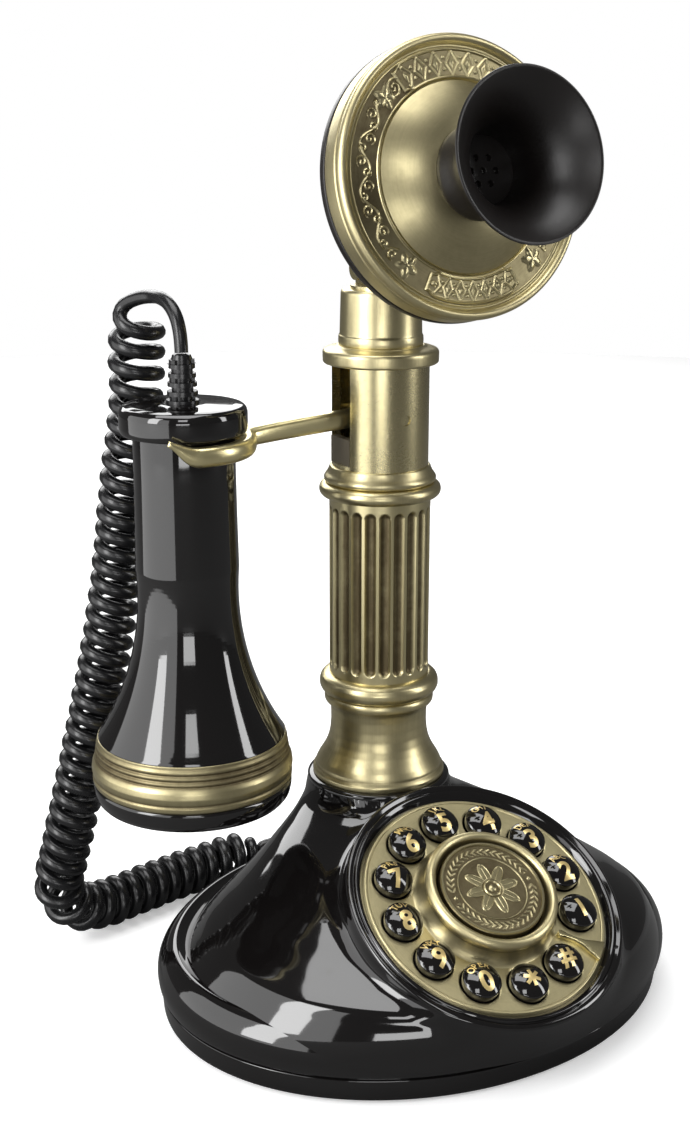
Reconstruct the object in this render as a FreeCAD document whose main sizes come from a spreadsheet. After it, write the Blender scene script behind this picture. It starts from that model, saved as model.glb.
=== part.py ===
import FreeCAD, Part
import math
import os
import re
import Sketcher

# Push-button candlestick telephone, in millimetres.
# Origin: the column's axis at desk level. +Z is up, -Y is the dial's side, +X is right seen from the dial.
# The earpiece hangs on the hook at -X.

# --------------------------------------------------------------------------------------------------
# Driving dimensions
# --------------------------------------------------------------------------------------------------

SIZES = {
    # base: oval rings, each with a height, a half width, a half depth and a centre moved towards the dial
    "wall": 3.0,
    "rim_height": 1.2,
    "dial_tilt": 30.4,
    "dial_centre_y": -75.5,
    "dial_centre_z": 55.3,
    "pod_radius": 50.0,
    "pod_rim_level": -2.4,
    "pod_floor_z": 11.0,
    "recess_radius": 44.3,
    "keypad_well_radius": 41.5,
    "plate_radius": 43.9,
    "plate_level": -4.2,
    "plate_thickness": 2.5,
    "foot_radius": 8.0,
    "bottom_plate_thickness": 2.5,
    "bottom_plate_half_width": 92.6,
    "bottom_plate_half_depth": 74.4,
    "base_centre_y": -27.0,
    "boss_radius": 4.0,
    "boss_top": 33.5,
    "jack_x": 30.0,
    "jack_face_y": 48.5,
    "jack_width": 14.0,
    "jack_depth": 13.0,
    "jack_bottom": 4.5,
    "jack_height": 12.0,
    "jack_socket_width": 9.8,
    "jack_socket_height": 6.8,
    "jack_socket_depth": 10.0,
    # push buttons, on an open circle with the finger stop in its gap
    "button_circle_radius": 33.5,
    "button_radius": 6.75,
    "button_clearance": 0.3,
    "button_top_level": 1.2,
    "button_crown_radius": 10.1,
    "button_foot_level": -9.4,
    "button_flange_radius": 7.5,
    "first_button_angle": -24.7,
    "button_step": 29.12,
    "bezel_outer_radius": 23.2,
    "bezel_hub_radius": 21.4,
    "bezel_inner_radius": 19.0,
    "bezel_height": 9.8,
    "medallion_radius": 18.8,
    "medallion_height": 8.9,
    # column
    "foot_z": 74.5,
    "waist_z": 95.0,
    "small_ring_z": 103.0,
    "lower_ring_z": 107.0,
    "fluted_z": 114.5,
    "upper_ring_z": 181.5,
    "bell_z": 187.0,
    "hook_tube_z": 193.0,
    "flange_z": 229.8,
    "cap_z": 236.0,
    "column_top": 255.7,
    "foot_rim_radius": 24.8,
    "waist_radius": 17.9,
    "ring_radius": 22.1,
    "small_ring_radius": 20.3,
    "flute_tube_radius": 18.4,
    "hook_tube_radius": 17.4,
    "column_bore_radius": 14.4,
    "flange_radius": 20.65,
    "cap_radius": 14.9,
    "cap_top_radius": 14.2,
    "flute_count": 22,
    "flute_radius": 2.1,
    "flute_depth_radius": 18.9,
    "flute_start": 3.0,
    "slot_width": 13.0,
    "slot_bottom": 194.5,
    "slot_top": 229.8,
    "insert_top": 204.0,
    "rod_radius": 1.8,
    "rod_x": 9.5,
    # hook lever and its two-pronged fork
    "pivot_z": 211.5,
    "pin_radius": 2.0,
    "running_gap": 0.05,
    "lever_width": 6.0,
    "lever_height": 6.6,
    "fork_top": 211.3,
    "fork_height": 6.2,
    "fork_inner_radius": 18.2,
    "fork_outer_radius": 24.2,
    "prong_length": 12.5,
    "prong_tip_half_gap": 19.6,
    # earpiece
    "receiver_x": -76.5,
    "ear_cap_z": 80.5,
    "band_z": 88.2,
    "handle_z": 104.6,
    "handle_top": 211.8,
    "handle_flare_z": 165.0,
    "handle_flare_radius": 96.0,
    "handle_top_radius": 17.2,
    "handle_bottom_radius": 33.0,
    "handle_wall": 2.4,
    "cap_disc_radius": 22.2,
    "cap_disc_height": 9.7,
    "relief_height": 16.5,
    # transmitter, tipped back to face the speaker
    "head_tilt": 12.2,
    "head_centre_y": -50.0,
    "head_centre_z": 295.06,
    "head_depth": 20.0,
    # trumpet mouthpiece, with heights measured from its foot
    "horn_foot_level": 9.2,
    "horn_base_radius": 15.1,
    "horn_waist_radius": 13.4,
    "horn_waist": 8.5,
    "horn_mouth_radius": 26.5,
    "horn_length": 28.6,
    "horn_lip": 1.1,
    "horn_flare_radius": 30.0,
    "horn_throat_radius": 11.6,
    "horn_throat": 9.0,
    "horn_floor_radius": 11.0,
    "horn_floor": 3.0,
    "head_radius": 45.0,
    "tilt_pivot_y": 3.0,
    "tilt_pivot_z": 262.6,
    "tilt_pin_radius": 2.0,
    "tongue_radius": 5.0,
    "tongue_width": 6.0,
    # cord
    "curl_radius": 8.6,
    "cord_radius": 2.15,
}

# Oval rings of the base shell: name, height, half width, half depth, centre in Y.
BELT_RINGS = [
    ("rim", 1.2, 96.0, 78.0, -27.0),
    ("seam", 10.0, 98.0, 80.0, -27.2),
    ("bulge", 16.0, 98.6, 80.8, -27.6),
    ("crown", 22.0, 97.0, 79.6, -28.2),
    ("lip", 27.0, 93.0, 76.6, -29.0),
]
DOME_RINGS = [
    ("sill", 20.0, 92.5, 75.8, -29.2),
    ("haunch", 32.0, 85.0, 72.0, -34.5),
    ("side", 38.0, 77.0, 66.5, -34.5),
    ("breast", 46.0, 66.0, 57.0, -30.0),
    ("shoulder", 54.0, 54.5, 47.5, -23.0),
    ("throat", 62.0, 39.5, 36.0, -11.0),
    ("collar", 68.0, 28.6, 28.2, -1.5),
    ("neck", 74.5, 26.6, 26.5, 0.0),
]

BUTTON_NAMES = ["1", "2", "3", "4", "5", "6", "7", "8", "9", "0", "star", "hash"]
FEET = [(0.0, 0.0), (-58.0, -72.0), (58.0, -72.0), (-58.0, 18.0), (58.0, 18.0)]
SCREWS = [(-78.0, -27.0), (78.0, -27.0), (-38.0, 21.0), (38.0, 21.0)]

# The curly part of the cord: down behind the earpiece, round on the desk, along behind the base.
CURL_ROUTE = [
    (-77.8, 36.0, 241.0),
    (-77.4, 38.2, 216.0),
    (-81.5, 41.2, 189.0),
    (-84.5, 45.0, 153.0),
    (-90.0, 49.0, 117.0),
    (-99.5, 51.8, 75.0),
    (-106.5, 55.5, 42.0),
    (-110.5, 58.5, 24.0),
    (-98.0, 62.5, 9.3),
    (-66.0, 71.0, 9.1),
    (-42.0, 75.4, 9.6),
    (-18.0, 76.3, 12.0),
]
# The straight lead from the earpiece's strain relief over to the first turn.
LEAD_ROUTE = [
    (-76.5, 0.0, 238.5),
    (-76.0, 1.5, 249.0),
    (-77.0, 10.5, 259.0),
    (-78.5, 24.0, 260.5),
    (-78.6, 34.0, 252.5),
    (-77.9, 35.9, 241.4),
]
# The straight tail from the last turn into the bushing at the back of the base.
TAIL_ROUTE = [
    (-18.0, 76.3, 12.0),
    (-8.0, 76.6, 13.2),
    (0.5, 70.8, 15.4),
    (3.0, 59.5, 17.0),
]
BUSHING_X = 3.0
BUSHING_Z = 17.0

# --------------------------------------------------------------------------------------------------
# Document, sheet and helpers
# --------------------------------------------------------------------------------------------------

document = FreeCAD.newDocument("candlestick_telephone")
sheet = document.addObject("Spreadsheet::Sheet", "Sizes")
nodes = []


def fill_sheet():
    """Write every driving dimension, and the base's rings, into the sheet as plain numbers with aliases."""
    rows = dict(SIZES)
    for ring, height, half_width, half_depth, centre in BELT_RINGS + DOME_RINGS:
        rows[ring + "_z"] = height
        rows[ring + "_half_width"] = half_width
        rows[ring + "_half_depth"] = half_depth
        rows[ring + "_centre"] = centre
    for row, (alias, value) in enumerate(rows.items(), start=1):
        sheet.set(f"A{row}", alias)
        sheet.set(f"B{row}", str(value))
        sheet.setAlias(f"B{row}", alias)
    document.recompute()


def size(alias):
    """Return one driving dimension from the sheet."""
    return float(getattr(sheet, alias))


def bound(expression):
    """Return an expression in which every size's name points at its cell in the sheet."""
    return re.sub(r"[a-z][a-z_]*", lambda word: "Sizes." + word.group(), expression)


def number(expression):
    """Return the value of an expression written with the sizes' names."""
    return float(sheet.evalExpression(bound(expression)))


def finish(part, label):
    """Make an object the sub-part of that name."""
    part.Label = label
    nodes.append(part)
    return part


def origin_plane(body, role):
    """Return one of a body's own origin planes."""
    return next(plane for plane in body.Origin.OriginFeatures if plane.Role == role)


def dial_place(across=0.0, along=0.0, level=0.0):
    """Return a place on the dial: across to the right, along up the slope, level out of its plane."""
    turn = FreeCAD.Rotation(FreeCAD.Vector(1, 0, 0), size("dial_tilt"))
    centre = FreeCAD.Vector(0, size("dial_centre_y"), size("dial_centre_z"))
    return FreeCAD.Placement(centre + turn.multVec(FreeCAD.Vector(across, along, level)), turn)


def head_place(forward=0.0):
    """Return a place on the transmitter's axis, with +Z along the way it faces."""
    turn = FreeCAD.Rotation(FreeCAD.Vector(1, 0, 0), 90.0 - size("head_tilt"))
    centre = FreeCAD.Vector(0, size("head_centre_y"), size("head_centre_z"))
    return FreeCAD.Placement(centre + turn.multVec(FreeCAD.Vector(0, 0, forward)), turn)


def at(x, y, z):
    """Return a place with no turn."""
    return FreeCAD.Placement(FreeCAD.Vector(x, y, z), FreeCAD.Rotation())


def pin_vertex(sketch, edge, vertex, across, up):
    """Hold one vertex of a sketch at the two distances, each an expression of the sizes."""
    for kind, axis, expression in (("DistanceX", -2, across), ("DistanceY", -1, up)):
        if abs(number(expression)) < 1e-9:
            sketch.addConstraint(Sketcher.Constraint("PointOnObject", edge, vertex, axis))
            continue
        index = sketch.addConstraint(Sketcher.Constraint(kind, -1, 1, edge, vertex, number(expression)))
        sketch.setExpression(f"Constraints[{index}]", bound(expression))


def bowed_edge(start, end, radius):
    """Return the arc between two points, bowed left for a positive radius, right for a negative one."""
    chord = end - start
    side = FreeCAD.Vector(-chord.y, chord.x, 0).normalize() * math.copysign(1.0, radius)
    centre = (start + end) * 0.5 - side * math.sqrt(radius ** 2 - (chord.Length / 2) ** 2)
    first, last = (end, start) if radius > 0 else (start, end)
    first_angle = math.atan2(first.y - centre.y, first.x - centre.x)
    last_angle = math.atan2(last.y - centre.y, last.x - centre.x)
    if last_angle < first_angle:
        last_angle += 2 * math.pi
    circle = Part.Circle(centre, FreeCAD.Vector(0, 0, 1), abs(radius))
    return Part.ArcOfCircle(circle, first_angle, last_angle)


def closed_sketch(body, role, outline, bows):
    """Draw a closed outline of (across, up) expressions; bows gives some edges a radius, by edge number."""
    sketch = body.newObject("Sketcher::SketchObject", body.Name + "_outline")
    sketch.AttachmentSupport = [(origin_plane(body, role), "")]
    sketch.MapMode = "FlatFace"
    points = [FreeCAD.Vector(number(across), number(up), 0) for across, up in outline]
    count = len(points)
    starts = []
    for edge in range(count):
        start, end = points[edge], points[(edge + 1) % count]
        if edge not in bows:
            sketch.addGeometry(Part.LineSegment(start, end))
            starts.append((1, 2))
            continue
        sketch.addGeometry(bowed_edge(start, end, number(bows[edge])))
        starts.append((2, 1) if number(bows[edge]) > 0 else (1, 2))
    for edge in range(count):
        following = (edge + 1) % count
        joint = Sketcher.Constraint("Coincident", edge, starts[edge][1], following, starts[following][0])
        sketch.addConstraint(joint)
    for edge, (across, up) in enumerate(outline):
        pin_vertex(sketch, edge, starts[edge][0], across, up)
    for edge, bow in bows.items():
        index = sketch.addConstraint(Sketcher.Constraint("Radius", edge, abs(number(bow))))
        sketch.setExpression(f"Constraints[{index}]", bound(bow.lstrip("-")))
    return sketch


def turned(name, outline, place=None, bows=None):
    """Make a PartDesign body turned about its own Z axis from an outline of (radius, height) expressions."""
    body = document.addObject("PartDesign::Body", name)
    sketch = closed_sketch(body, "XZ_Plane", outline, bows or {})
    turn = body.newObject("PartDesign::Revolution", name + "_turn")
    turn.Profile = sketch
    turn.ReferenceAxis = (sketch, ["V_Axis"])
    turn.Angle = 360
    body.Tip = turn
    if place:
        body.Placement = place
    return body


def padded(name, outline, thickness, place, bows=None):
    """Make a PartDesign body padded up from a flat outline of (x, y) expressions."""
    body = document.addObject("PartDesign::Body", name)
    sketch = closed_sketch(body, "XY_Plane", outline, bows or {})
    pad = body.newObject("PartDesign::Pad", name + "_pad")
    pad.Profile = sketch
    pad.Length = number(thickness)
    pad.setExpression("Length", bound(thickness))
    body.Tip = pad
    body.Placement = place
    return body


def cylinder(name, radius, height, place):
    """Make a cylinder whose radius and height are expressions of the sizes."""
    part = document.addObject("Part::Cylinder", name)
    part.setExpression("Radius", bound(radius))
    part.setExpression("Height", bound(height))
    part.Placement = place
    return part


def box(name, length, width, height, place):
    """Make a box centred on its place in X and Y, standing up from it in Z."""
    part = document.addObject("Part::Box", name)
    part.setExpression("Length", bound(length))
    part.setExpression("Width", bound(width))
    part.setExpression("Height", bound(height))
    middle = FreeCAD.Vector(-number(length) / 2, -number(width) / 2, 0)
    part.Placement = place.multiply(FreeCAD.Placement(middle, FreeCAD.Rotation()))
    return part


def cut(name, base, tool):
    """Take one shape away from another."""
    part = document.addObject("Part::Cut", name)
    part.Base = base
    part.Tool = tool
    return part


def fused(name, parts):
    """Join several shapes into one."""
    part = document.addObject("Part::MultiFuse", name)
    part.Shapes = parts
    return part


def common(name, parts):
    """Keep what several shapes share."""
    part = document.addObject("Part::MultiCommon", name)
    part.Shapes = parts
    return part


def sideways(x, y, z):
    """Return a place whose own Z axis points along the model's +Y axis."""
    return FreeCAD.Placement(FreeCAD.Vector(x, y, z), FreeCAD.Rotation(FreeCAD.Vector(1, 0, 0), -90))


def crosswise(x, y, z):
    """Return a place whose own Z axis points along the model's +X axis."""
    return FreeCAD.Placement(FreeCAD.Vector(x, y, z), FreeCAD.Rotation(FreeCAD.Vector(0, 1, 0), 90))


# --------------------------------------------------------------------------------------------------
# Base
# --------------------------------------------------------------------------------------------------


def oval_loft(name, rings, inset):
    """Loft a solid through oval rings, each drawn in by an inset."""
    sections = []
    for ring, *_ in rings:
        oval = document.addObject("Part::Ellipse", f"{name}_{ring}")
        oval.setExpression("MajorRadius", bound(f"{ring}_half_width - {inset}"))
        oval.setExpression("MinorRadius", bound(f"{ring}_half_depth - {inset}"))
        oval.Placement = at(0, size(ring + "_centre"), size(ring + "_z"))
        sections.append(oval)
    loft = document.addObject("Part::Loft", name)
    loft.Sections = sections
    loft.Solid = True
    loft.Ruled = False
    return loft


def make_base_shell():
    """One moulding: a rounded belt, a dome that flares up to the column, and the dial's pod."""
    pod_depth = "pod_rim_level + 80"
    pod = cylinder("pod_drum", "pod_radius", pod_depth, dial_place(level=-80.0))
    above_floor = at(0, -80.0, size("pod_floor_z"))
    keep = box("pod_keep", "pod_radius * 4", "pod_radius * 4", "pod_radius * 3", above_floor)
    outside = fused("base_outside", [
        oval_loft("belt", BELT_RINGS, "0"),
        oval_loft("dome", DOME_RINGS, "0"),
        common("pod", [pod, keep]),
    ])
    well_top = size("plate_level") - size("plate_thickness")
    hollow = fused("base_hollow", [
        box("open_bottom", "rim_half_width * 2 - wall * 2", "wall * 4", "wall", at(0, size("rim_centre"), 0)),
        oval_loft("belt_hollow", BELT_RINGS[:-1], "wall"),
        oval_loft("dome_hollow", DOME_RINGS[:-2], "wall"),
        cylinder("keypad_well", "keypad_well_radius", "plate_radius",
                 dial_place(level=well_top - size("plate_radius"))),
        cylinder("dial_recess", "recess_radius", "plate_radius", dial_place(level=well_top)),
        cylinder("cable_way", "column_bore_radius - wall", "foot_z", at(0, 0, size("wall"))),
    ])
    openings = fused("base_openings", [
        hollow,
        box("jack_window", "jack_width", "jack_depth * 2", "jack_height",
            at(size("jack_x"), size("jack_face_y"), size("jack_bottom"))),
        cylinder("bushing_hole", "cord_radius * 2", "wall * 6", sideways(BUSHING_X, 40.0, BUSHING_Z)),
    ])
    hollowed = cut("base_hollowed", outside, openings)
    posts = []
    for index, (x, y) in enumerate(SCREWS):
        post = cylinder(f"boss_{index}", "boss_radius", "boss_top - rim_height - bottom_plate_thickness",
                        at(x, y, size("rim_height") + size("bottom_plate_thickness")))
        hole = cylinder(f"boss_hole_{index}", "boss_radius / 2.6", "boss_radius * 4",
                        at(x, y, size("rim_height")))
        posts.append(cut(f"boss_post_{index}", post, hole))
    finish(fused("base_shell_solid", [hollowed] + posts), "base_shell")


def make_base_fittings():
    """The bottom plate with its feet and screws, and what stands on it."""
    plate_oval = document.addObject("Part::Ellipse", "bottom_oval")
    plate_oval.setExpression("MajorRadius", bound("bottom_plate_half_width"))
    plate_oval.setExpression("MinorRadius", bound("bottom_plate_half_depth"))
    plate_oval.Placement = at(0, size("base_centre_y"), size("rim_height"))
    plate = document.addObject("Part::Extrusion", "bottom_blank")
    plate.Base = plate_oval
    plate.DirMode = "Custom"
    plate.Dir = FreeCAD.Vector(0, 0, 1)
    plate.setExpression("LengthFwd", bound("bottom_plate_thickness"))
    plate.Solid = True
    holes = []
    heads = []
    for index, (x, y) in enumerate(SCREWS):
        spot = at(x, y, size("rim_height"))
        holes.append(cylinder(f"screw_way_{index}", "boss_radius * 0.9", "wall", spot))
        head = cylinder(f"screw_head_{index}", "boss_radius * 0.85", "wall * 0.8", spot)
        shank = cylinder(f"screw_shank_{index}", "boss_radius / 2.7", "boss_radius * 3.6", spot)
        heads += [head, shank]
    finish(cut("bottom_cover", plate, fused("screw_ways", holes)), "base_plate")
    finish(fused("screw_set", heads), "base_screws")
    feet = [
        cylinder(f"foot_{index}", "foot_radius", "rim_height", at(x, y, 0))
        for index, (x, y) in enumerate(FEET)
    ]
    finish(fused("foot_set", feet), "rubber_feet")

    slab_z = size("rim_height") + size("bottom_plate_thickness")
    slab = box("slab", "foot_radius * 10", "foot_radius * 4.5", "foot_radius", at(-4.0, -4.0, slab_z))
    legs = [
        cylinder(f"board_leg_{index}", "wall", "foot_radius + wall", at(x, y, slab_z))
        for index, (x, y) in enumerate([(-36.0, -15.0), (28.0, -15.0), (-36.0, 7.0), (28.0, 7.0)])
    ]
    finish(fused("ballast_solid", [slab] + legs), "ballast_weight")
    board_z = slab_z + size("foot_radius") + size("wall")
    on_legs = at(-4.0, -4.0, board_z)
    finish(box("board", "foot_radius * 9", "foot_radius * 4", "wall / 2", on_legs), "main_board")
    finish(cylinder("buzzer", "foot_radius * 1.6", "foot_radius * 1.5", at(-62.0, -34.0, slab_z)), "ringer")

    jack_y = size("jack_face_y") - size("jack_depth") / 2
    jack = box("jack_block", "jack_width", "jack_depth", "jack_height",
               at(size("jack_x"), jack_y, size("jack_bottom")))
    socket_y = size("jack_face_y") - size("jack_socket_depth") / 2
    socket_z = size("jack_bottom") + (size("jack_height") - size("jack_socket_height")) / 2
    socket = box("jack_socket", "jack_socket_width", "jack_socket_depth", "jack_socket_height",
                 at(size("jack_x"), socket_y, socket_z))
    finish(cut("jack_solid", jack, socket), "line_jack")
    finish(turned("bushing", [
        ("cord_radius", "0"),
        ("cord_radius * 1.95", "0"),
        ("cord_radius * 1.95", "wall * 2.5"),
        ("cord_radius * 2.7", "wall * 2.5"),
        ("cord_radius * 2.2", "wall * 4.5"),
        ("cord_radius", "wall * 4.5"),
    ], sideways(BUSHING_X, 46.0, BUSHING_Z)), "cord_bushing")


# --------------------------------------------------------------------------------------------------
# Dial
# --------------------------------------------------------------------------------------------------


def button_spot(index):
    """Return a button's place across and along the dial."""
    angle = math.radians(size("first_button_angle") + index * size("button_step"))
    return size("button_circle_radius") * math.cos(angle), size("button_circle_radius") * math.sin(angle)


def make_dial_plate():
    """The brass plate with a hole for every button."""
    bottom = size("plate_level") - size("plate_thickness")
    blank = cylinder("plate_blank", "plate_radius", "plate_thickness", dial_place(level=bottom))
    holes = []
    for index, name in enumerate(BUTTON_NAMES):
        across, along = button_spot(index)
        spot = dial_place(across, along, bottom - size("wall"))
        holes.append(cylinder(f"button_way_{name}", "button_radius + button_clearance", "wall * 3", spot))
    finish(cut("dial_plate_solid", blank, fused("button_ways", holes)), "dial_plate")


def make_buttons():
    """Twelve separate push buttons: a domed key with a flange that holds it behind the plate."""
    foot = size("button_foot_level")
    crown_centre = size("button_top_level") - size("button_crown_radius")
    for index, name in enumerate(BUTTON_NAMES):
        across, along = button_spot(index)
        stem = cylinder(f"key_{name}", "button_radius", "button_top_level - button_foot_level",
                        dial_place(across, along, foot))
        crown = document.addObject("Part::Sphere", f"key_crown_{name}")
        crown.setExpression("Radius", bound("button_crown_radius"))
        crown.Placement = dial_place(across, along, crown_centre)
        key = common(f"key_body_{name}", [stem, crown])
        flange = cylinder(f"key_flange_{name}", "button_flange_radius", "wall * 0.4",
                          dial_place(across, along, foot + size("wall") * 0.3))
        finish(fused(f"key_solid_{name}", [key, flange]), f"button_{name}")


def make_dial_trim():
    """The bezel, the medallion, the finger stop and the two layers of the keypad behind the plate."""
    on_plate = dial_place(level=size("plate_level"))
    finish(turned("bezel", [
        ("bezel_inner_radius", "0"),
        ("bezel_hub_radius", "0"),
        ("bezel_hub_radius", "bezel_height * 0.5"),
        ("bezel_outer_radius", "bezel_height * 0.65"),
        ("bezel_outer_radius", "bezel_height * 0.85"),
        ("bezel_hub_radius", "bezel_height"),
        ("bezel_inner_radius + 1", "bezel_height"),
        ("bezel_inner_radius", "bezel_height * 0.9"),
    ], on_plate), "dial_bezel")
    finish(turned("medallion", [
        ("0", "0"),
        ("medallion_radius", "0"),
        ("medallion_radius", "medallion_height * 0.92"),
        ("medallion_radius - 1", "medallion_height"),
        ("0", "medallion_height"),
    ], on_plate), "dial_medallion")

    gap_angle = size("first_button_angle") - (360.0 - 11 * size("button_step")) / 2
    reach = (size("bezel_outer_radius") + size("plate_radius")) / 2 + 1.5
    across, along = reach * math.cos(math.radians(gap_angle)), reach * math.sin(math.radians(gap_angle))
    spot = dial_place(across, along, size("plate_level"))
    turn = FreeCAD.Placement(FreeCAD.Vector(), FreeCAD.Rotation(FreeCAD.Vector(0, 0, 1), gap_angle))
    finish(box("stop", "plate_radius * 0.38", "wall * 1.6", "wall * 0.8", spot.multiply(turn)), "finger_stop")

    mat_level = size("button_foot_level") - 1.8 - 1.6
    finish(cylinder("mat", "keypad_well_radius - 0.3", "wall * 0.53", dial_place(level=mat_level)),
           "keypad_mat")
    finish(cylinder("keypad", "keypad_well_radius - 0.3", "wall * 0.53", dial_place(level=mat_level - 1.6)),
           "keypad_board")


# --------------------------------------------------------------------------------------------------
# Column
# --------------------------------------------------------------------------------------------------


def make_column():
    """Turned brass pieces stacked over a hollow middle, clamped by an off-centre tie rod."""
    bore = "column_bore_radius"
    finish(turned("foot", [
        (bore, "foot_z"),
        ("foot_rim_radius", "foot_z"),
        ("foot_rim_radius", "foot_z + 2.6"),
        ("foot_rim_radius - 1", "foot_z + 4.6"),
        ("foot_rim_radius - 2.3", "foot_z + 7.5"),
        ("waist_radius + 1.3", "foot_z + 11.5"),
        ("waist_radius", "waist_z"),
        ("waist_radius + 0.6", "small_ring_z"),
        (bore, "small_ring_z"),
    ], bows={5: "-waist_z * 0.6"}), "column_foot")
    finish(turned("small_bead", [
        (bore, "small_ring_z"),
        ("small_ring_radius - 0.8", "small_ring_z"),
        ("small_ring_radius", "small_ring_z + 1"),
        ("small_ring_radius", "lower_ring_z - 1"),
        ("small_ring_radius - 0.8", "lower_ring_z"),
        (bore, "lower_ring_z"),
    ]), "small_ring")
    finish(turned("lower_bead", [
        (bore, "lower_ring_z"),
        ("ring_radius - 2.8", "lower_ring_z"),
        ("ring_radius - 2.8", "lower_ring_z + 1.8"),
        ("ring_radius - 2.8", "fluted_z"),
        (bore, "fluted_z"),
    ], bows={2: "-(fluted_z - lower_ring_z) * 0.4"}), "lower_ring")

    tube = turned("fluted", [
        (bore, "fluted_z"),
        ("flute_tube_radius", "fluted_z"),
        ("flute_tube_radius", "upper_ring_z"),
        (bore, "upper_ring_z"),
    ])
    document.recompute()
    flute = tube.newObject("PartDesign::SubtractiveCylinder", "flute")
    flute.AttachmentSupport = [(origin_plane(tube, "XY_Plane"), "")]
    flute.MapMode = "FlatFace"
    flute.AttachmentOffset = at(size("flute_depth_radius") + 0.8, 0, size("fluted_z") + size("flute_start"))
    flute.setExpression("Radius", bound("flute_radius"))
    flute.setExpression("Height", bound("upper_ring_z - fluted_z - flute_start * 2"))
    document.recompute()
    pattern = tube.newObject("PartDesign::PolarPattern", "flutes")
    pattern.Originals = [flute]
    pattern.Axis = (tube.Group[0], ["V_Axis"])
    pattern.Angle = 360
    pattern.setExpression("Occurrences", bound("flute_count"))
    tube.Tip = pattern
    finish(tube, "fluted_tube")

    finish(turned("upper_bead", [
        (bore, "upper_ring_z"),
        ("ring_radius - 2.6", "upper_ring_z"),
        ("ring_radius - 2.6", "bell_z"),
        (bore, "bell_z"),
    ], bows={1: "-(bell_z - upper_ring_z) * 0.51"}), "upper_ring")
    finish(turned("bell", [
        (bore, "bell_z"),
        ("hook_tube_radius + 2.2", "bell_z"),
        ("hook_tube_radius + 2.9", "bell_z + 1.8"),
        ("hook_tube_radius + 0.7", "hook_tube_z"),
        (bore, "hook_tube_z"),
    ], bows={2: "(hook_tube_z - bell_z) * 1.5"}), "bell_collar")

    blank = turned("hook_tube_blank", [
        (bore, "hook_tube_z"),
        ("hook_tube_radius", "hook_tube_z"),
        ("hook_tube_radius", "flange_z"),
        (bore, "flange_z"),
    ])
    slot = box("hook_slot", "hook_tube_radius", "slot_width", "slot_top - slot_bottom",
               at(-size("hook_tube_radius"), 0, size("slot_bottom")))
    pin_way = cylinder("pin_way", "pin_radius", "hook_tube_radius * 2",
                       sideways(0, -size("hook_tube_radius"), size("pivot_z")))
    finish(cut("hook_tube_solid", blank, fused("hook_tube_cuts", [slot, pin_way])), "hook_tube")
    finish(box("slot_filler", "wall * 0.9", "slot_width", "insert_top - slot_bottom",
               at(-size("hook_tube_radius") + 2.2, 0, size("slot_bottom"))), "slot_insert")

    finish(turned("flange", [
        (bore, "flange_z"),
        ("flange_radius", "flange_z"),
        ("flange_radius", "flange_z + 4.2"),
        ("flange_radius - 1", "flange_z + 5"),
        ("cap_radius + 1", "cap_z"),
        (bore, "cap_z"),
    ]), "column_flange")
    finish(turned("cap", [
        ("0", "column_top - wall * 1.5"),
        ("cap_top_radius - wall", "column_top - wall * 1.5"),
        ("cap_radius - wall", "cap_z"),
        ("cap_radius", "cap_z"),
        ("cap_radius", "cap_z + 3.6"),
        ("cap_top_radius", "column_top"),
        ("0", "column_top"),
    ]), "column_cap")
    rod = cylinder("rod", "rod_radius", "column_top - foot_z - wall * 1.5",
                   at(size("rod_x"), 0, size("foot_z")))
    finish(rod, "tie_rod")


# --------------------------------------------------------------------------------------------------
# Hook
# --------------------------------------------------------------------------------------------------


def make_hook():
    """A cast lever that pivots inside the column and ends in a two-pronged fork under the earpiece's cap."""
    fork = padded("fork", [
        ("-prong_length", "prong_tip_half_gap - 1.2"),
        ("0", "fork_inner_radius"),
        ("0", "-fork_inner_radius"),
        ("-prong_length", "-prong_tip_half_gap + 1.2"),
        ("-prong_length", "-prong_tip_half_gap"),
        ("0", "-fork_outer_radius"),
        ("0", "fork_outer_radius"),
        ("-prong_length", "prong_tip_half_gap"),
    ], "fork_height", at(size("receiver_x"), 0, size("fork_top") - size("fork_height")), bows={
        1: "fork_inner_radius + 0.001",
        5: "-(fork_outer_radius + 0.001)",
    })
    root_x = size("receiver_x") + size("fork_inner_radius")
    length = "fork_inner_radius * 3 + 0.5"
    start = FreeCAD.Vector(root_x + 1.5, 0, size("fork_top") - size("lever_height") + 0.3)
    rise = size("pivot_z") - size("lever_height") / 2 - start.z
    slope = FreeCAD.Rotation(FreeCAD.Vector(0, 1, 0), -math.degrees(math.asin(rise / -start.x)))
    arm_middle = FreeCAD.Placement(start, slope).multiply(at(number(length) / 2, 0, 0))
    arm = box("lever_arm", length, "lever_width", "lever_height", arm_middle)
    web = box("fork_web", "wall * 3", "lever_width * 2", "fork_height * 0.7",
              at(root_x + size("wall") * 2.4, 0, size("fork_top") - size("fork_height") * 0.85))
    eye = cylinder("lever_eye", "lever_height * 0.62", "lever_width",
                   sideways(0, -size("lever_width") / 2, size("pivot_z")))
    hole = cylinder("lever_hole", "pin_radius + running_gap", "lever_width * 2",
                    sideways(0, -size("lever_width"), size("pivot_z")))
    finish(cut("hook_solid", fused("hook_blank", [fork, arm, web, eye]), hole), "hook_lever")
    pin = cylinder("pivot_pin", "pin_radius", "hook_tube_radius * 2 - 1",
                   sideways(0, 0.5 - size("hook_tube_radius"), size("pivot_z")))
    finish(pin, "hook_pivot_pin")
    finish(turned("spring", [
        ("pin_radius", "0"),
        ("pin_radius + 1.2", "0"),
        ("pin_radius + 1.2", "wall * 4"),
        ("pin_radius", "wall * 4"),
    ], at(-6.0, 0, size("bell_z") + 8.0)), "hook_spring")
    finish(box("switch", "wall * 4", "wall * 3", "wall * 2.4", at(-6.0, 0, size("bell_z") + 0.8)),
           "hook_switch")


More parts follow.
